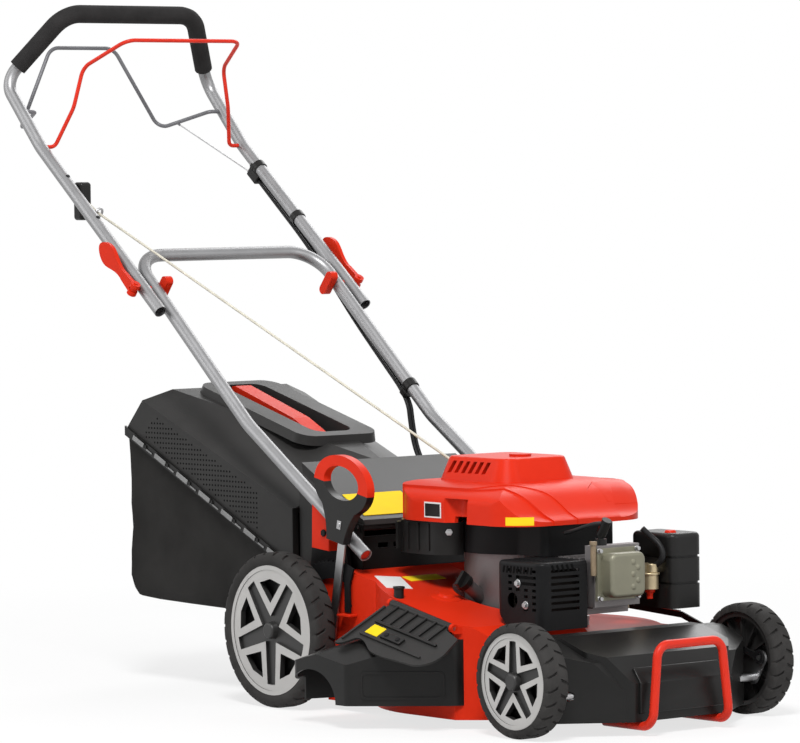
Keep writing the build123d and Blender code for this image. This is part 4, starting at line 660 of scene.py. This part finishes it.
class MOWER_OT_sack(bpy.types.Operator):
    """Hang the cloth sack from its rails"""

    bl_idname = "mower.sack"
    bl_label = "Sack"

    # the rear wall's x, half the width, and the height where the side walls end
    REAR, HALF, LOW = -811.0, 175.2, 140
    # where the floor lies along the bag: x, z
    FLOOR = (
        (-347, 153), (-366, 145), (-386, 139.2), (-470, 139), (-560, 140.5),
        (-650, 142), (-740, 144), (-790, 147), (-803, 158), (-811, 173),
    )
    # length of cloth between two ribs, rounding of the floor's edges, thickness of the cloth
    STATION, ROUND, CLOTH = 20, 10, 0.0008
    # depth of the long and of the short creases, and the share of the sag that hangs in
    LONG_CREASE, SHORT_CREASE, HANGS_IN = 1.4, 0.9, 0.55
    # the rear wall's loops, as shares of its outline
    REAR_LOOPS = (0.88, 0.74, 0.6, 0.46, 0.32, 0.18, 0.06)

    def hang(self, x, y, z, inward):
        """A point of the cloth, pulled in between its hems and creased."""
        top = seam(x)
        fall = max(0.0, min(1.0, (top - z) / (top - self.LOW)))
        slack = math.sin(math.pi * min(1.0, fall * 1.05)) if fall < 0.95 else 0.0
        crease = self.LONG_CREASE * math.sin(0.045 * x + 0.03 * z + 2.2 * math.sin(0.02 * z))
        crease += self.SHORT_CREASE * math.sin(0.09 * z - 0.035 * x)
        depth = (sizes().sag / MM * self.HANGS_IN + crease) * slack
        return at((x + inward[0] * depth, y + inward[1] * depth, z + inward[2] * depth))

    def rib(self, x, floor):
        """The cloth's line across the bag at one place: down the right, along the floor, up the left."""
        top, foot, flat = seam(x), floor + self.ROUND, self.HALF - self.ROUND
        side = [(-self.HALF, top + (foot - top) * n / 12, (0, 1, 0)) for n in range(13)]
        turn = [(-self.HALF + 3, floor + 3, (0, 0.7, 0.7))]
        base = [(-flat + flat * n / 6, floor, (0, 0, 1)) for n in range(7)]
        half = side + turn + base
        return half + [(-y, z, (i, -j, k)) for y, z, (i, j, k) in reversed(half[:-1])]

    def execute(self, context):
        bm = bmesh.new()
        stations = []
        for (x0, z0), (x1, z1) in zip(self.FLOOR, self.FLOOR[1:]):
            parts = max(1, round((x0 - x1) / self.STATION))
            stations += [(x0 + (x1 - x0) * n / parts, z0 + (z1 - z0) * n / parts) for n in range(parts)]
        stations.append(self.FLOOR[-1])
        loops = [[self.hang(x, y, z, inward) for y, z, inward in self.rib(x, floor)] for x, floor in stations]
        top = seam(self.REAR)
        edge = self.rib(*stations[-1])
        for share in self.REAR_LOOPS:
            loops.append(
                [self.hang(self.REAR, y * share, top + (z - top) * share, (1, 0, 0)) for y, z, _ in edge]
            )
        before = None
        for loop in loops:
            verts = [bm.verts.new(point) for point in loop]
            edges = [bm.edges.new(pair) for pair in zip(verts, verts[1:])]
            if before:
                bmesh.ops.bridge_loops(bm, edges=before + edges)
            before = edges
        cap = bmesh.ops.edgeloop_fill(bm, edges=before + [bm.edges.new((verts[0], verts[-1]))])["faces"]
        bmesh.ops.poke(bm, faces=cap)
        bmesh.ops.recalc_face_normals(bm, faces=bm.faces)
        bmesh.ops.solidify(bm, geom=bm.faces[:], thickness=self.CLOTH)
        sack = made("cloth_sack", bm, sack_cloth(), "grass_bag")
        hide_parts("bag_sack")
        return {"FINISHED"}


class MOWER_OT_cords(bpy.types.Operator):
    """Run the control cables, the starter rope and the drive wire"""

    bl_idname = "mower.cords"
    bl_label = "Cords"

    # side view of the cables: x, z, and the distance from the middle plane
    CABLES = (
        (-963.0, 869.7, 220), (-891.3, 811.3, 220), (-811.0, 747.2, 219), (-727.5, 676.8, 211),
        (-652.4, 613.3, 201), (-571.4, 545.4, 196), (-498.4, 482.3, 194), (-488, 436, 191),
        (-474, 388, 190.5), (-430, 336, 190.5), (-368, 294, 191), (-298, 264, 191.5), (-238, 246, 192),
        (-200, 230, 191),
    )
    # how far each cable lies to the side of that line
    LANES = (-3.6, 3.6)
    # where the cables would begin and end to bend with the folding handle; the cables here stay fixed
    FOLD_FROM, FOLD_TO = (-590, 196, 560), (-800, 219, 738)
    # share of the rope that would stay with the cover as the handle folds; the rope here stays fixed
    SLACK = 0.7
    WIRE_RADIUS = 0.0012

    def execute(self, context):
        routes = [[(x, y + lane, z) for x, z, y in self.CABLES] for lane in self.LANES]
        cables = cord("cables", routes, sizes().cable, cable_sheath())
        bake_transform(cables)
        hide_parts("control_cables")
        rope = cord("rope_run", [self.run(ROPE_MOUTH, ROPE_RING, 20)], sizes().rope, rope_braid())
        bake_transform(rope)
        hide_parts("starter_rope")
        tail = cord("rope_tail", [self.run(ROPE_RING, ROPE_GRIP)], sizes().rope, rope_braid())
        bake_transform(tail)
        route = self.run(WIRE_HOLDER, WIRE_HOOK)
        wire = cord("wire_run", [route], self.WIRE_RADIUS, bare_steel())
        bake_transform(wire)
        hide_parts("drive_wire")
        return {"FINISHED"}

    def run(self, start, end, parts=6):
        """Points along a straight run."""
        return [Vector(start).lerp(Vector(end), n / parts) for n in range(parts + 1)]


class MOWER_OT_bag_trim(bpy.types.Operator):
    """Lay dark discs of painted shade where the lid's walls have holes, and clip the sack's hem to its rails
    """

    bl_idname = "mower.bag_trim"
    bl_label = "Bag trim"

    # the holes in the lid's wall, laid as dark discs of painted shade: first one's x and z, columns, rows,
    # pitch and radius
    FIRST, COLUMNS, ROWS, PITCH, HOLE = (-758, 258), 39, 26, 8.2, 1.7
    # the lid's crease: x and z of its rear end, and its fall along the bag
    CREASE_X, CREASE_Z, CREASE_FALL = -734, 473, 0.398
    # how far the holes keep from the seam and from the crease, and the slope that ends them at the rear
    OFF_SEAM, OFF_CREASE, SLOPE_Z, SLOPE_RISE = 15, 14, 452, 0.7
    # distance of the wall from the middle plane, and the clips along the hem
    WALL, CLIPS = 176.0, 7

    def pierced(self, x, z):
        """Whether the lid's wall has a hole there, and so a dark disc of painted shade: above the seam, below
        the crease and its rear slope.
        """
        past = x - self.CREASE_X
        crease = self.CREASE_Z - self.CREASE_FALL * past
        slope = self.SLOPE_Z + self.SLOPE_RISE * past
        return seam(x) + self.OFF_SEAM < z < crease - self.OFF_CREASE and z < slope

    def execute(self, context):
        # dark discs of painted shade stand in the lid's holes
        hole_shade_discs = bmesh.new()
        for column in range(self.COLUMNS):
            for row in range(self.ROWS):
                x, z = (first + self.PITCH * n for first, n in zip(self.FIRST, (column, row)))
                if self.pierced(x, z):
                    place = basis((x, -self.WALL + 0.3, z), (1, 0, 0), (0, -1, 0))
                    stud(hole_shade_discs, self.HOLE, 0.6, place, sides=8)
        self.pair("lid_holes_painted_shade", hole_shade_discs, painted_hole_shade(), "black_plastic")
        clips, edges = bmesh.new(), bmesh.new()
        for n in range(self.CLIPS):
            x = BAG_FRONT - SEAM_RUN * (n + 0.72) / (self.CLIPS + 0.4)
            place = basis((x, -self.WALL - 6.1, seam(x) + 1), (-SEAM_RUN, 0, SEAM_RISE), (0, -1, 0))
            block(clips, (33, 8, 2), place, (4, 0, 0.6))
            block(edges, (24, 2.2, 1.2), place, (-26, 3, -0.9))
        self.pair("hem_clips", clips, clip_grey(), "grey_plastic", bevel=0.0006)
        self.pair("rail_edges", edges, clip_grey(), "grey_plastic")
        return {"FINISHED"}

    def pair(self, name, bm, material, slot, bevel=0.0):
        """A piece on the right wall and its mirror image on the left."""
        bmesh.ops.mirror(bm, geom=bm.verts[:] + bm.edges[:] + bm.faces[:], axis="Y", merge_dist=-1)
        made(name, bm, material, "grass_bag", bevel=bevel)


class MOWER_OT_engine_trim(bpy.types.Operator):
    """Fit the engine's screws, pipes and bare plates"""

    bl_idname = "mower.engine_trim"
    bl_label = "Engine trim"

    # the plate bent round the cover's front corner: middle of the corner, the plate's radius and heights,
    # its first angle and its span
    CORNER, REACH, HEIGHTS = (118, -77, 0), 0.0690, (314, 327)
    FIRST, SPAN = math.radians(-62), math.radians(38)
    # screw heads: x and z on the guard's side, y and z on the cylinder's head, x and y on the block's foot
    GUARD_SIDE, GUARD_SCREWS = -152, ((196, 227), (214, 194))
    CYLINDER_FACE, CYLINDER_SCREWS = 263, ((-42, 199.5), (-42, 274.5), (36.5, 199.5), (36.5, 274.5))
    FOOT_TOP, FOOT_SCREWS = 150, ((113, -60), (113, 60), (-60, -64), (-60, 64))
    # the guard's slots, laid as dark plates of painted shade: number and pitch on its side and on its front,
    # and the heights of the two long ones
    SIDE_SLOTS, SIDE_PITCH, FRONT_SLOTS, FRONT_PITCH, LONG_SLOTS = 9, 8.2, 5, 10, (237, 227.5)
    # bumps on the valve cover: x of its face, then y and z of each
    VALVE_FACE, BUMPS = 287, ((8, 256), (18, 247), (8, 237), (18, 227), (8, 217))
    # x and y of the breather and of the float bowl
    BREATHER, BOWL = (260, -51.4), (222, 100)
    # how far the rope's mouth reaches into the cover
    MOUTH_DEPTH = 20
    FUEL_HOSE = (
        (214, 92, 300), (222, 104, 286), (240, 110, 272), (246, 108, 252), (230, 104, 240), (224, 100, 234),
    )
    PLUG_LEAD = ((258, -24, 316), (252, -34, 318), (236, -46, 312), (214, -52, 304), (196, -54, 300))
    HOSE_RADIUS, LEAD_RADIUS = 0.005, 0.0035

    def execute(self, context):
        self.screws()
        self.cover_plates()
        self.pipes()
        return {"FINISHED"}

    def screws(self):
        """Screw heads, dark plates of painted shade in the guard's slots, the valve cover's bumps and the
        filter's knob.
        """
        steel = bmesh.new()
        tank_bracket = basis((-6.2, -124.2, 295), (0, 0, 1), (0.779, -0.627, 0))
        stud(steel, 6, 3, tank_bracket, sides=6)
        stud(steel, 3.4, 4.5, tank_bracket)
        for x, z in self.GUARD_SCREWS:
            guard = basis((x, self.GUARD_SIDE, z), (1, 0, 0), (0, -1, 0))
            stud(steel, 6.5, 1.2, guard)
            stud(steel, 4.6, 5, guard, sides=6)
        for y, z in self.CYLINDER_SCREWS:
            head = basis((self.CYLINDER_FACE, y, z), (0, 1, 0), (1, 0, 0))
            stud(steel, 4.4, 1.0, head)
            stud(steel, 3.6, 6, head, sides=6)
        for x, y in self.FOOT_SCREWS:
            stud(steel, 6, 7, upright((x, y, self.FOOT_TOP)), sides=6)
        # dark plates of painted shade stand in the guard's slots
        slot_shade_plates = bmesh.new()
        for n in range(self.SIDE_SLOTS):
            place = (162 + self.SIDE_PITCH * n, self.GUARD_SIDE, 248)
            block(slot_shade_plates, (4, 11, 0.6), basis(place, (1, 0, -0.25), (0, -1, 0)))
        for n in range(self.FRONT_SLOTS):
            place = (252, -128 + self.FRONT_PITCH * n, 252)
            block(slot_shade_plates, (4, 11, 0.6), basis(place, (0, 1, 0.45), (1, 0, 0)))
        for z in self.LONG_SLOTS:
            block(slot_shade_plates, (34, 4.4, 0.6), basis((216, self.GUARD_SIDE, z), (1, 0, 0), (0, -1, 0)))
        made("guard_slots_painted_shade", slot_shade_plates, painted_hole_shade(), "chassis", smooth=False)
        made("engine_screws", steel, bare_steel(), "chassis", bevel=0.0004)
        bumps = bmesh.new()
        for y, z in self.BUMPS:
            stud(bumps, 5, 1.3, basis((self.VALVE_FACE, y, z), (0, 1, 0), (1, 0, 0)), top=3)
        made("valve_cover_bumps", bumps, pressed_alloy(), "chassis")
        knob = bmesh.new()
        stud(knob, 10, 4, upright((232, 136, 291.7)), top=8)
        made("filter_knob", knob, cover_gloss(), "chassis", bevel=0.0006)

    def cover_plates(self):
        """The bare badge on the cover's side and the bare label round its corner."""
        side = basis((-20, -145.8, 331), (1, 0, 0), (0, -1, 0))
        rim = bmesh.new()
        block(rim, (42, 25, 0.7), side, (0, 0, 0.35))
        made("cover_badge_rim", rim, plate_white(), "chassis", bevel=0.0002)
        badge = bmesh.new()
        block(badge, (37, 20, 0.6), side, (0, 0, 0.9))
        made("cover_badge", badge, black_plastic(), "chassis", bevel=0.0002)
        label = bmesh.new()
        corner = at(self.CORNER)
        reach = Vector((math.cos(self.FIRST), math.sin(self.FIRST), 0)) * self.REACH
        foot, head = (label.verts.new(corner + reach + at((0, 0, z))) for z in self.HEIGHTS)
        edge = label.edges.new((foot, head))
        bmesh.ops.spin(
            label, geom=[foot, head, edge], cent=corner, axis=(0, 0, 1), dvec=(0, 0, 0),
            angle=self.SPAN, steps=12,
        )
        bmesh.ops.recalc_face_normals(label, faces=label.faces)
        bmesh.ops.solidify(label, geom=label.faces[:], thickness=0.0006)
        made("cover_label", label, plate_yellow(), "chassis")

    def pipes(self):
        """Breather, float bowl with its drain, fuel hose, plug lead and the mouth of the starter rope."""
        breather = bmesh.new()
        stud(breather, 4.6, 52, upright((*self.BREATHER, 236)))
        stud(breather, 6, 6, upright((*self.BREATHER, 284)))
        made("breather", breather, breather_tan(), "chassis", bevel=0.0005)
        bowl = bmesh.new()
        stud(bowl, 14, 24, upright((*self.BOWL, 203)))
        stud(bowl, 16, 4, upright((*self.BOWL, 226)))
        stud(bowl, 9, 14, upright((228, 100, 230)))
        made("float_bowl", bowl, carburettor_brass(), "chassis", bevel=0.001)
        drain = bmesh.new()
        stud(drain, 8, 5, upright((*self.BOWL, 198)))
        stud(drain, 5, 10, upright((*self.BOWL, 188)))
        made("bowl_drain", drain, cover_gloss(), "chassis", bevel=0.0005)
        hose = cord("fuel_hose", [self.FUEL_HOSE], self.HOSE_RADIUS, cable_sheath())
        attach(hose, "chassis")
        lead = cord("plug_lead", [self.PLUG_LEAD], self.LEAD_RADIUS, cable_sheath())
        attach(lead, "chassis")
        mouth = bmesh.new()
        rope = Vector(ROPE_RING) - Vector(ROPE_MOUTH)
        foot = Vector(ROPE_MOUTH) - rope.normalized() * self.MOUTH_DEPTH
        stud(mouth, 8.5, 21, basis(foot, (0, 1, 0), rope), top=6.5)
        made("rope_mouth", mouth, black_plastic(), "chassis", bevel=0.0006)


class MOWER_OT_shoulder(bpy.types.Operator):
    """Close the left shoulder of the engine cover, round the well of the fuel cap"""

    bl_idname = "mower.shoulder"
    bl_label = "Cover shoulder"

    # along X: the inner edge, the ridge line, and the tops inside and outside the ridge
    STATIONS = (
        (-108, 117, 124, 373.2, 371.2), (-100, 117, 126, 373.8, 371.4), (-80, 117, 126, 374.2, 371.4),
        (-56, 117, 126, 374.4, 371.4), (-47, 108, 126, 374.4, 371.4), (-41, 96, 126, 374.4, 371.4),
        (-38, 78, 126, 374.4, 371.4), (0, 78, 126, 374.4, 371.4), (40, 76, 125.2, 374.4, 371.4),
        (62, 70, 123.8, 374.4, 371.4), (86, 62, 119, 374.4, 371.4), (98, 62, 115.5, 374.3, 371.4),
        (110, 62, 111.5, 372.9, 370.6), (120, 62, 106.2, 368.7, 366.1), (130, 62, 100.2, 364.2, 361.3),
        (140, 62, 93.6, 357.9, 354.3), (150, 62, 87, 349.4, 344.8), (158, 62, 82.6, 341.8, 336.8),
    )
    # the outer wall: x of its corners, the y that they turn about and their radius
    CORNERS, MIDDLE, ROUND = (-68, 118), 77, 68.8
    # height of the underside, and the least thickness
    FLOOR, THICK = 338, 10

    def execute(self, context):
        bm = bmesh.new()
        rows = [[bm.verts.new(at(point)) for point in self.section(*station)] for station in self.STATIONS]
        for row, ahead in zip(rows, rows[1:]):
            for n in range(len(row) - 1):
                bm.faces.new((row[n], ahead[n], ahead[n + 1], row[n + 1]))
        for vert in bmesh.ops.extrude_face_region(bm, geom=bm.faces[:])["geom"]:
            if isinstance(vert, bmesh.types.BMVert):
                vert.co.z = min(self.FLOOR * MM, vert.co.z - self.THICK * MM)
        made("cover_shoulder", bm, cover_gloss(), "chassis")
        return {"FINISHED"}

    def section(self, x, inner, ridge, top, side):
        """Points across the shoulder, from the hat's foot over the ridge to the outer wall."""
        past = x - min(max(x, self.CORNERS[0]), self.CORNERS[1])
        wall = self.MIDDLE + math.sqrt(self.ROUND ** 2 - past ** 2) + 0.5
        step = min(8, (ridge - inner) / 2)
        return (
            (x, inner, top - 1.2), (x, inner + step, top - 0.2), (x, (inner + ridge) / 2 + 2, top - 0.3),
            (x, ridge - 0.4, top - 0.5), (x, ridge + 0.4, side + 0.1), (x, (ridge + wall) / 2, side),
            (x, wall - 3, side - 0.1), (x, wall - 0.9, side - 0.9), (x, wall, side - 3),
        )


class MOWER_OT_deck_trim(bpy.types.Operator):
    """Lay the deck's bare plates, boss and posts"""

    bl_idname = "mower.deck_trim"
    bl_label = "Deck trim"

    # side view of the raised panel on the front cover: x, z
    NOSE = ((388, 102), (392.4, 104.8), (409.5, 82), (409.5, 35), (403, 34), (403, 81))
    NOSE_HALF = 88
    # the ramp of the deck: down its slope, and out of it
    DOWN, OUT = (0.979, 0, -0.205), (0.205, 0, 0.979)
    # x and y of the side flap's hinge post, and the turn of the white plate
    POST, ASKEW = (-14, -222), math.radians(-22)
    # the bright edge of the height link
    LINK_EDGE = ((-180, 203, 178.6), (0, 203, 168.6), (180, 203, 158.6))

    def execute(self, context):
        white = bmesh.new()
        askew = basis((-90, -172, 212.4), self.DOWN, self.OUT) @ Matrix.Rotation(self.ASKEW, 4, "Z")
        block(white, (70, 44, 1.2), askew, (0, 0, 0.2))
        made("deck_plate_white", white, plate_white(), "chassis", bevel=0.0002)
        yellow = bmesh.new()
        block(yellow, (26, 72, 1.2), basis((-101, -100, 214.7), self.DOWN, self.OUT), (0, 0, 0.2))
        made("deck_plate_yellow", yellow, plate_yellow(), "chassis", bevel=0.0002)
        boss = bmesh.new()
        ramp = basis((6, -142, 192), self.DOWN, self.OUT)
        stud(boss, 17, 7, ramp, top=12, sides=32)
        stud(boss, 26, 3, ramp, top=20, sides=32)
        made("deck_boss", boss, deck_enamel(), "chassis", bevel=0.0015)
        post = bmesh.new()
        stud(post, 8, 20, upright((*self.POST, 194)))
        stud(post, 9.5, 4, upright((*self.POST, 210)))
        made("hinge_post", post, black_plastic(), "chassis", bevel=0.0008)
        nose = bmesh.new()
        outline(nose, self.NOSE, 2 * self.NOSE_HALF, basis((0, self.NOSE_HALF, 0), (1, 0, 0), (0, -1, 0)))
        made("nose_panel", nose, black_plastic(), "chassis", bevel=0.0015)
        foot = bmesh.new()
        block(foot, (34, 16, 4), middle=(-166, -208, 157))
        made("bracket_foot", foot, deck_enamel(), "chassis", bevel=0.001)
        pin = bmesh.new()
        for side in (-1, 1):
            stud(pin, 6, 4, basis((-225, side * 206.2, 287), (1, 0, 0), (0, side, 0)), sides=6)
        made("clamp_bolts", pin, black_enamel(), "chassis", bevel=0.0005)
        strip = cord("link_edge", [self.LINK_EDGE], 0.0018, bare_steel())
        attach(strip, "height_link")
        return {"FINISHED"}


class MOWER_OT_flap_trim(bpy.types.Operator):
    """Rib and label the flaps"""

    bl_idname = "mower.flap_trim"
    bl_label = "Flap trim"

    # the side flap's plane: the hinge's front end, rearwards along the hinge, and out of the flap
    HINGE, ALONG, OUT = (150, -244, 159), (-160, 0, 31), (0.1652, -0.4957, 0.8526)
    # its ribs: number, place of the first one along the hinge, pitch
    RIBS, FIRST, PITCH = 6, 14, 24
    # the rear flap's label: its middle, along it, and out of it
    LABEL, LABEL_ALONG, LABEL_OUT = (-216, -92, 329.6), (0.88, 0, -0.475), (0.475, 0, 0.88)

    def execute(self, context):
        plane = basis(self.HINGE, self.ALONG, self.OUT)
        ribs = bmesh.new()
        for n in range(self.RIBS):
            block(ribs, (4.2, 43, 5.6), plane, (self.FIRST + self.PITCH * n, 26, 2.8))
        block(ribs, (152, 5, 5.8), plane, (64, 48, 2.9))
        block(ribs, (48, 14, 6), plane, (74, 68, 3))
        made("flap_ribs", ribs, black_plastic(), "side_flap", bevel=0.0008)
        heads = bmesh.new()
        for x in (60, 88):
            stud(heads, 4.5, 1.6, plane @ upright((x, 68, 6)), top=3.6)
        made("flap_screws", heads, black_enamel(), "side_flap")
        label = bmesh.new()
        block(label, (30, 22, 1.0), plane, (121, 65, 2.05))
        made("flap_label", label, plate_yellow(), "side_flap", bevel=0.0002)
        top = bmesh.new()
        block(top, (66, 122, 1.4), basis(self.LABEL, self.LABEL_ALONG, self.LABEL_OUT))
        made("rear_flap_label", top, plate_yellow(), "rear_flap", bevel=0.0002)
        return {"FINISHED"}


class MOWER_OT_handle_trim(bpy.types.Operator):
    """Fit the handle's plugs, cable clips and screws"""

    bl_idname = "mower.handle_trim"
    bl_label = "Handle trim"

    # the lower legs' ends: distance from the middle plane, x, z, and the direction out of the tube
    LEG_Y, END_X, END_Z, END_OUT = 196, -134.7, 258.1, (0.84, 0, -0.542)
    # x and z of the screws on the right upper leg
    LEG_SCREWS = ((-919.2, 870.5), (-830.9, 799.3))
    # the height lever's screw: its place, and along the lever
    LEVER_SCREW, LEVER_ALONG = (-159.7, -226.8, 304.4), (0.9816, 0, -0.1908)

    def execute(self, context):
        plugs = bmesh.new()
        for side in (-1, 1):
            stud(plugs, 9.7, 2.4, basis((self.END_X, side * self.LEG_Y, self.END_Z), (0, 1, 0), self.END_OUT))
        made("tube_plugs", plugs, cover_gloss(), "chassis")
        holder = bmesh.new()
        block(holder, (30, 21, 17), basis((-958, 219.5, 868), LEG, LEG_OUT))
        block(holder, (12, 27, 8), basis((-956, 220, 884), LEG, LEG_OUT))
        made("cable_holder", holder, black_plastic(), "upper_handle", bevel=0.0015)
        ferrule = bmesh.new()
        wire = Vector(WIRE_HOOK) - Vector(WIRE_HOLDER)
        stud(ferrule, 3.4, 10, basis(WIRE_HOLDER, (0, 1, 0), wire), top=2.4)
        made("wire_ferrule", ferrule, bare_steel(), "upper_handle")
        band = bmesh.new()
        stud(band, 13.2, 16, basis((-490, self.LEG_Y, 498.2), (0, 1, 0), LOWER_LEG), sides=32)
        block(band, (14, 20, 12), basis((-504, 194, 492), LOWER_LEG, LOWER_LEG_OUT))
        made("lower_clip", band, black_plastic(), "chassis", bevel=0.001)
        heads = bmesh.new()
        for x, z in self.LEG_SCREWS:
            stud(heads, 4, 1.6, basis((x, -219, z), LEG, LEG_OUT), top=3)
        made("leg_screws", heads, black_enamel(), "upper_handle")
        rivet = bmesh.new()
        lever = basis(self.LEVER_SCREW, self.LEVER_ALONG, (0, -1, 0))
        block(rivet, (10, 14, 1.2), lever, (0, 0, 0.6))
        stud(rivet, 3.4, 2.4, lever)
        made("lever_screw", rivet, bare_steel(), "rear_axle", bevel=0.0004)
        return {"FINISHED"}


class MOWER_OT_stage(bpy.types.Operator):
    """Set the floor, the lights and the camera"""

    bl_idname = "mower.stage"
    bl_label = "Stage"

    # lamps: name, place, width, power
    LAMPS = (
        ("key", (2.6, -2.6, 5.2), 1.8, 350),
        ("fill", (-3.0, -4.2, 2.6), 3.4, 60),
        ("front", (5.0, 1.6, 2.6), 3.0, 60),
        ("back", (-2.5, 3.6, 3.4), 3.0, 80),
    )
    AIM = Vector((-0.2, 0, 0.4))
    DAYLIGHT, FLOOR_HALF = 0.24, 14
    # the camera: its place, its right and forward directions, and its focal length in widths of the picture
    PLACE = (5.73865, -4.83647, 0.86731)
    RIGHT, AHEAD = Vector((0.62671, 0.77915, -0.01237)), Vector((-0.77884, 0.62579, -0.04231))
    FOCAL, SENSOR = 4664 / 800, 36
    # the paper's own white: from and to which distance it grows, and its share near the mower
    NEAR, FAR, NEAR_WHITE = 0.9, 2.6, 0.74

    def execute(self, context):
        scene = context.scene
        bm = bmesh.new()
        bmesh.ops.create_grid(bm, x_segments=1, y_segments=1, size=self.FLOOR_HALF)
        mesh = bpy.data.meshes.new("floor")
        bm.to_mesh(mesh)
        bm.free()
        floor = bpy.data.objects.new("floor", mesh)
        scene.collection.objects.link(floor)
        mesh.materials.append(self.paper())
        for lamp in self.LAMPS:
            self.lamp(*lamp)
        world = bpy.data.worlds.new("studio")
        world.use_nodes = True
        world.node_tree.nodes["Background"].inputs["Color"].default_value = (1, 1, 1, 1)
        world.node_tree.nodes["Background"].inputs["Strength"].default_value = self.DAYLIGHT
        self.white_behind(world.node_tree)
        scene.world = world
        scene.view_settings.view_transform = "Standard"
        camera = bpy.data.objects.new("camera", bpy.data.cameras.new("camera"))
        scene.collection.objects.link(camera)
        right, ahead = self.RIGHT.normalized(), self.AHEAD.normalized()
        turn = Matrix((right, right.cross(ahead), -ahead)).transposed().to_4x4()
        camera.matrix_world = Matrix.Translation(self.PLACE) @ turn
        camera.data.sensor_fit = "HORIZONTAL"
        camera.data.sensor_width = self.SENSOR
        camera.data.lens = self.SENSOR * self.FOCAL
        camera.data.clip_end = 60
        scene.camera = camera
        return {"FINISHED"}

    def seen(self, tree):
        """One for the camera's, mirrored and refracted rays, nought for the light's."""
        path = tree.nodes.new("ShaderNodeLightPath")
        total = path.outputs["Is Camera Ray"]
        for name in ("Is Glossy Ray", "Is Transmission Ray"):
            total = math_node(tree, "MAXIMUM", total, path.outputs[name])
        return total

    def paper(self):
        """White paper that shows little but the shadow."""
        material = bpy.data.materials.new("floor_paper")
        material.use_nodes = True
        tree = material.node_tree
        shader = tree.nodes["Principled BSDF"]
        shader.inputs["Base Color"].default_value = (0.86, 0.86, 0.86, 1)
        shader.inputs["Roughness"].default_value = 0.9
        shader.inputs["Specular IOR Level"].default_value = 0.1
        white = tree.nodes.new("ShaderNodeEmission")
        white.inputs["Color"].default_value = (1, 1, 1, 1)
        place = tree.nodes.new("ShaderNodeTexCoord")
        away = tree.nodes.new("ShaderNodeVectorMath")
        away.operation = "LENGTH"
        tree.links.new(place.outputs["Object"], away.inputs[0])
        fade = tree.nodes.new("ShaderNodeMapRange")
        fade.inputs["From Min"].default_value = self.NEAR
        fade.inputs["From Max"].default_value = self.FAR
        fade.inputs["To Min"].default_value = self.NEAR_WHITE
        tree.links.new(away.outputs["Value"], fade.inputs["Value"])
        share = math_node(tree, "MULTIPLY", self.seen(tree), fade.outputs["Result"])
        mix = tree.nodes.new("ShaderNodeMixShader")
        tree.links.new(share, mix.inputs["Fac"])
        tree.links.new(shader.outputs[0], mix.inputs[1])
        tree.links.new(white.outputs[0], mix.inputs[2])
        tree.links.new(mix.outputs[0], tree.nodes["Material Output"].inputs["Surface"])
        return material

    def lamp(self, name, place, size, power):
        """A round lamp that is aimed at the mower."""
        light = bpy.data.lights.new(name, "AREA")
        light.shape = "DISK"
        light.size = size
        light.energy = power
        lamp = bpy.data.objects.new(name, light)
        lamp.location = place
        lamp.rotation_euler = (self.AIM - Vector(place)).to_track_quat("-Z", "Y").to_euler()
        bpy.context.scene.collection.objects.link(lamp)

    def white_behind(self, tree):
        """A white background for the camera and for reflections, with the plain light kept."""
        white = tree.nodes.new("ShaderNodeBackground")
        white.inputs["Color"].default_value = (1, 1, 1, 1)
        mix = tree.nodes.new("ShaderNodeMixShader")
        tree.links.new(self.seen(tree), mix.inputs["Fac"])
        tree.links.new(tree.nodes["Background"].outputs[0], mix.inputs[1])
        tree.links.new(white.outputs[0], mix.inputs[2])
        tree.links.new(mix.outputs[0], tree.nodes["World Output"].inputs["Surface"])


class MOWER_PT_panel(bpy.types.Panel):
    """Offers the mower's steps, colours and sizes"""

    bl_idname = "MOWER_PT_panel"
    bl_label = "Mower"
    bl_space_type = "VIEW_3D"
    bl_region_type = "UI"
    bl_category = "Mower"

    def draw(self, context):
        for operator in OPERATORS:
            self.layout.operator(operator.bl_idname)
        for group in (context.scene.mower_colours, context.scene.mower_sizes):
            for name in group.__annotations__:
                self.layout.prop(group, name)


OPERATORS = (
    MOWER_OT_finishes, MOWER_OT_tyres, MOWER_OT_foam, MOWER_OT_sack, MOWER_OT_cords, MOWER_OT_bag_trim,
    MOWER_OT_engine_trim, MOWER_OT_shoulder, MOWER_OT_deck_trim, MOWER_OT_flap_trim, MOWER_OT_handle_trim,
    MOWER_OT_stage,
)
CLASSES = (MowerColours, MowerSizes, *OPERATORS, MOWER_PT_panel)


def register():
    for each in CLASSES:
        bpy.utils.register_class(each)
    bpy.types.Scene.mower_colours = bpy.props.PointerProperty(type=MowerColours)
    bpy.types.Scene.mower_sizes = bpy.props.PointerProperty(type=MowerSizes)


def unregister():
    del bpy.types.Scene.mower_sizes
    del bpy.types.Scene.mower_colours
    for each in reversed(CLASSES):
        bpy.utils.unregister_class(each)


def main():
    register()
    for operator in OPERATORS:
        group, name = operator.bl_idname.split(".")
        getattr(getattr(bpy.ops, group), name)()


if __name__ == "__main__":
    main()
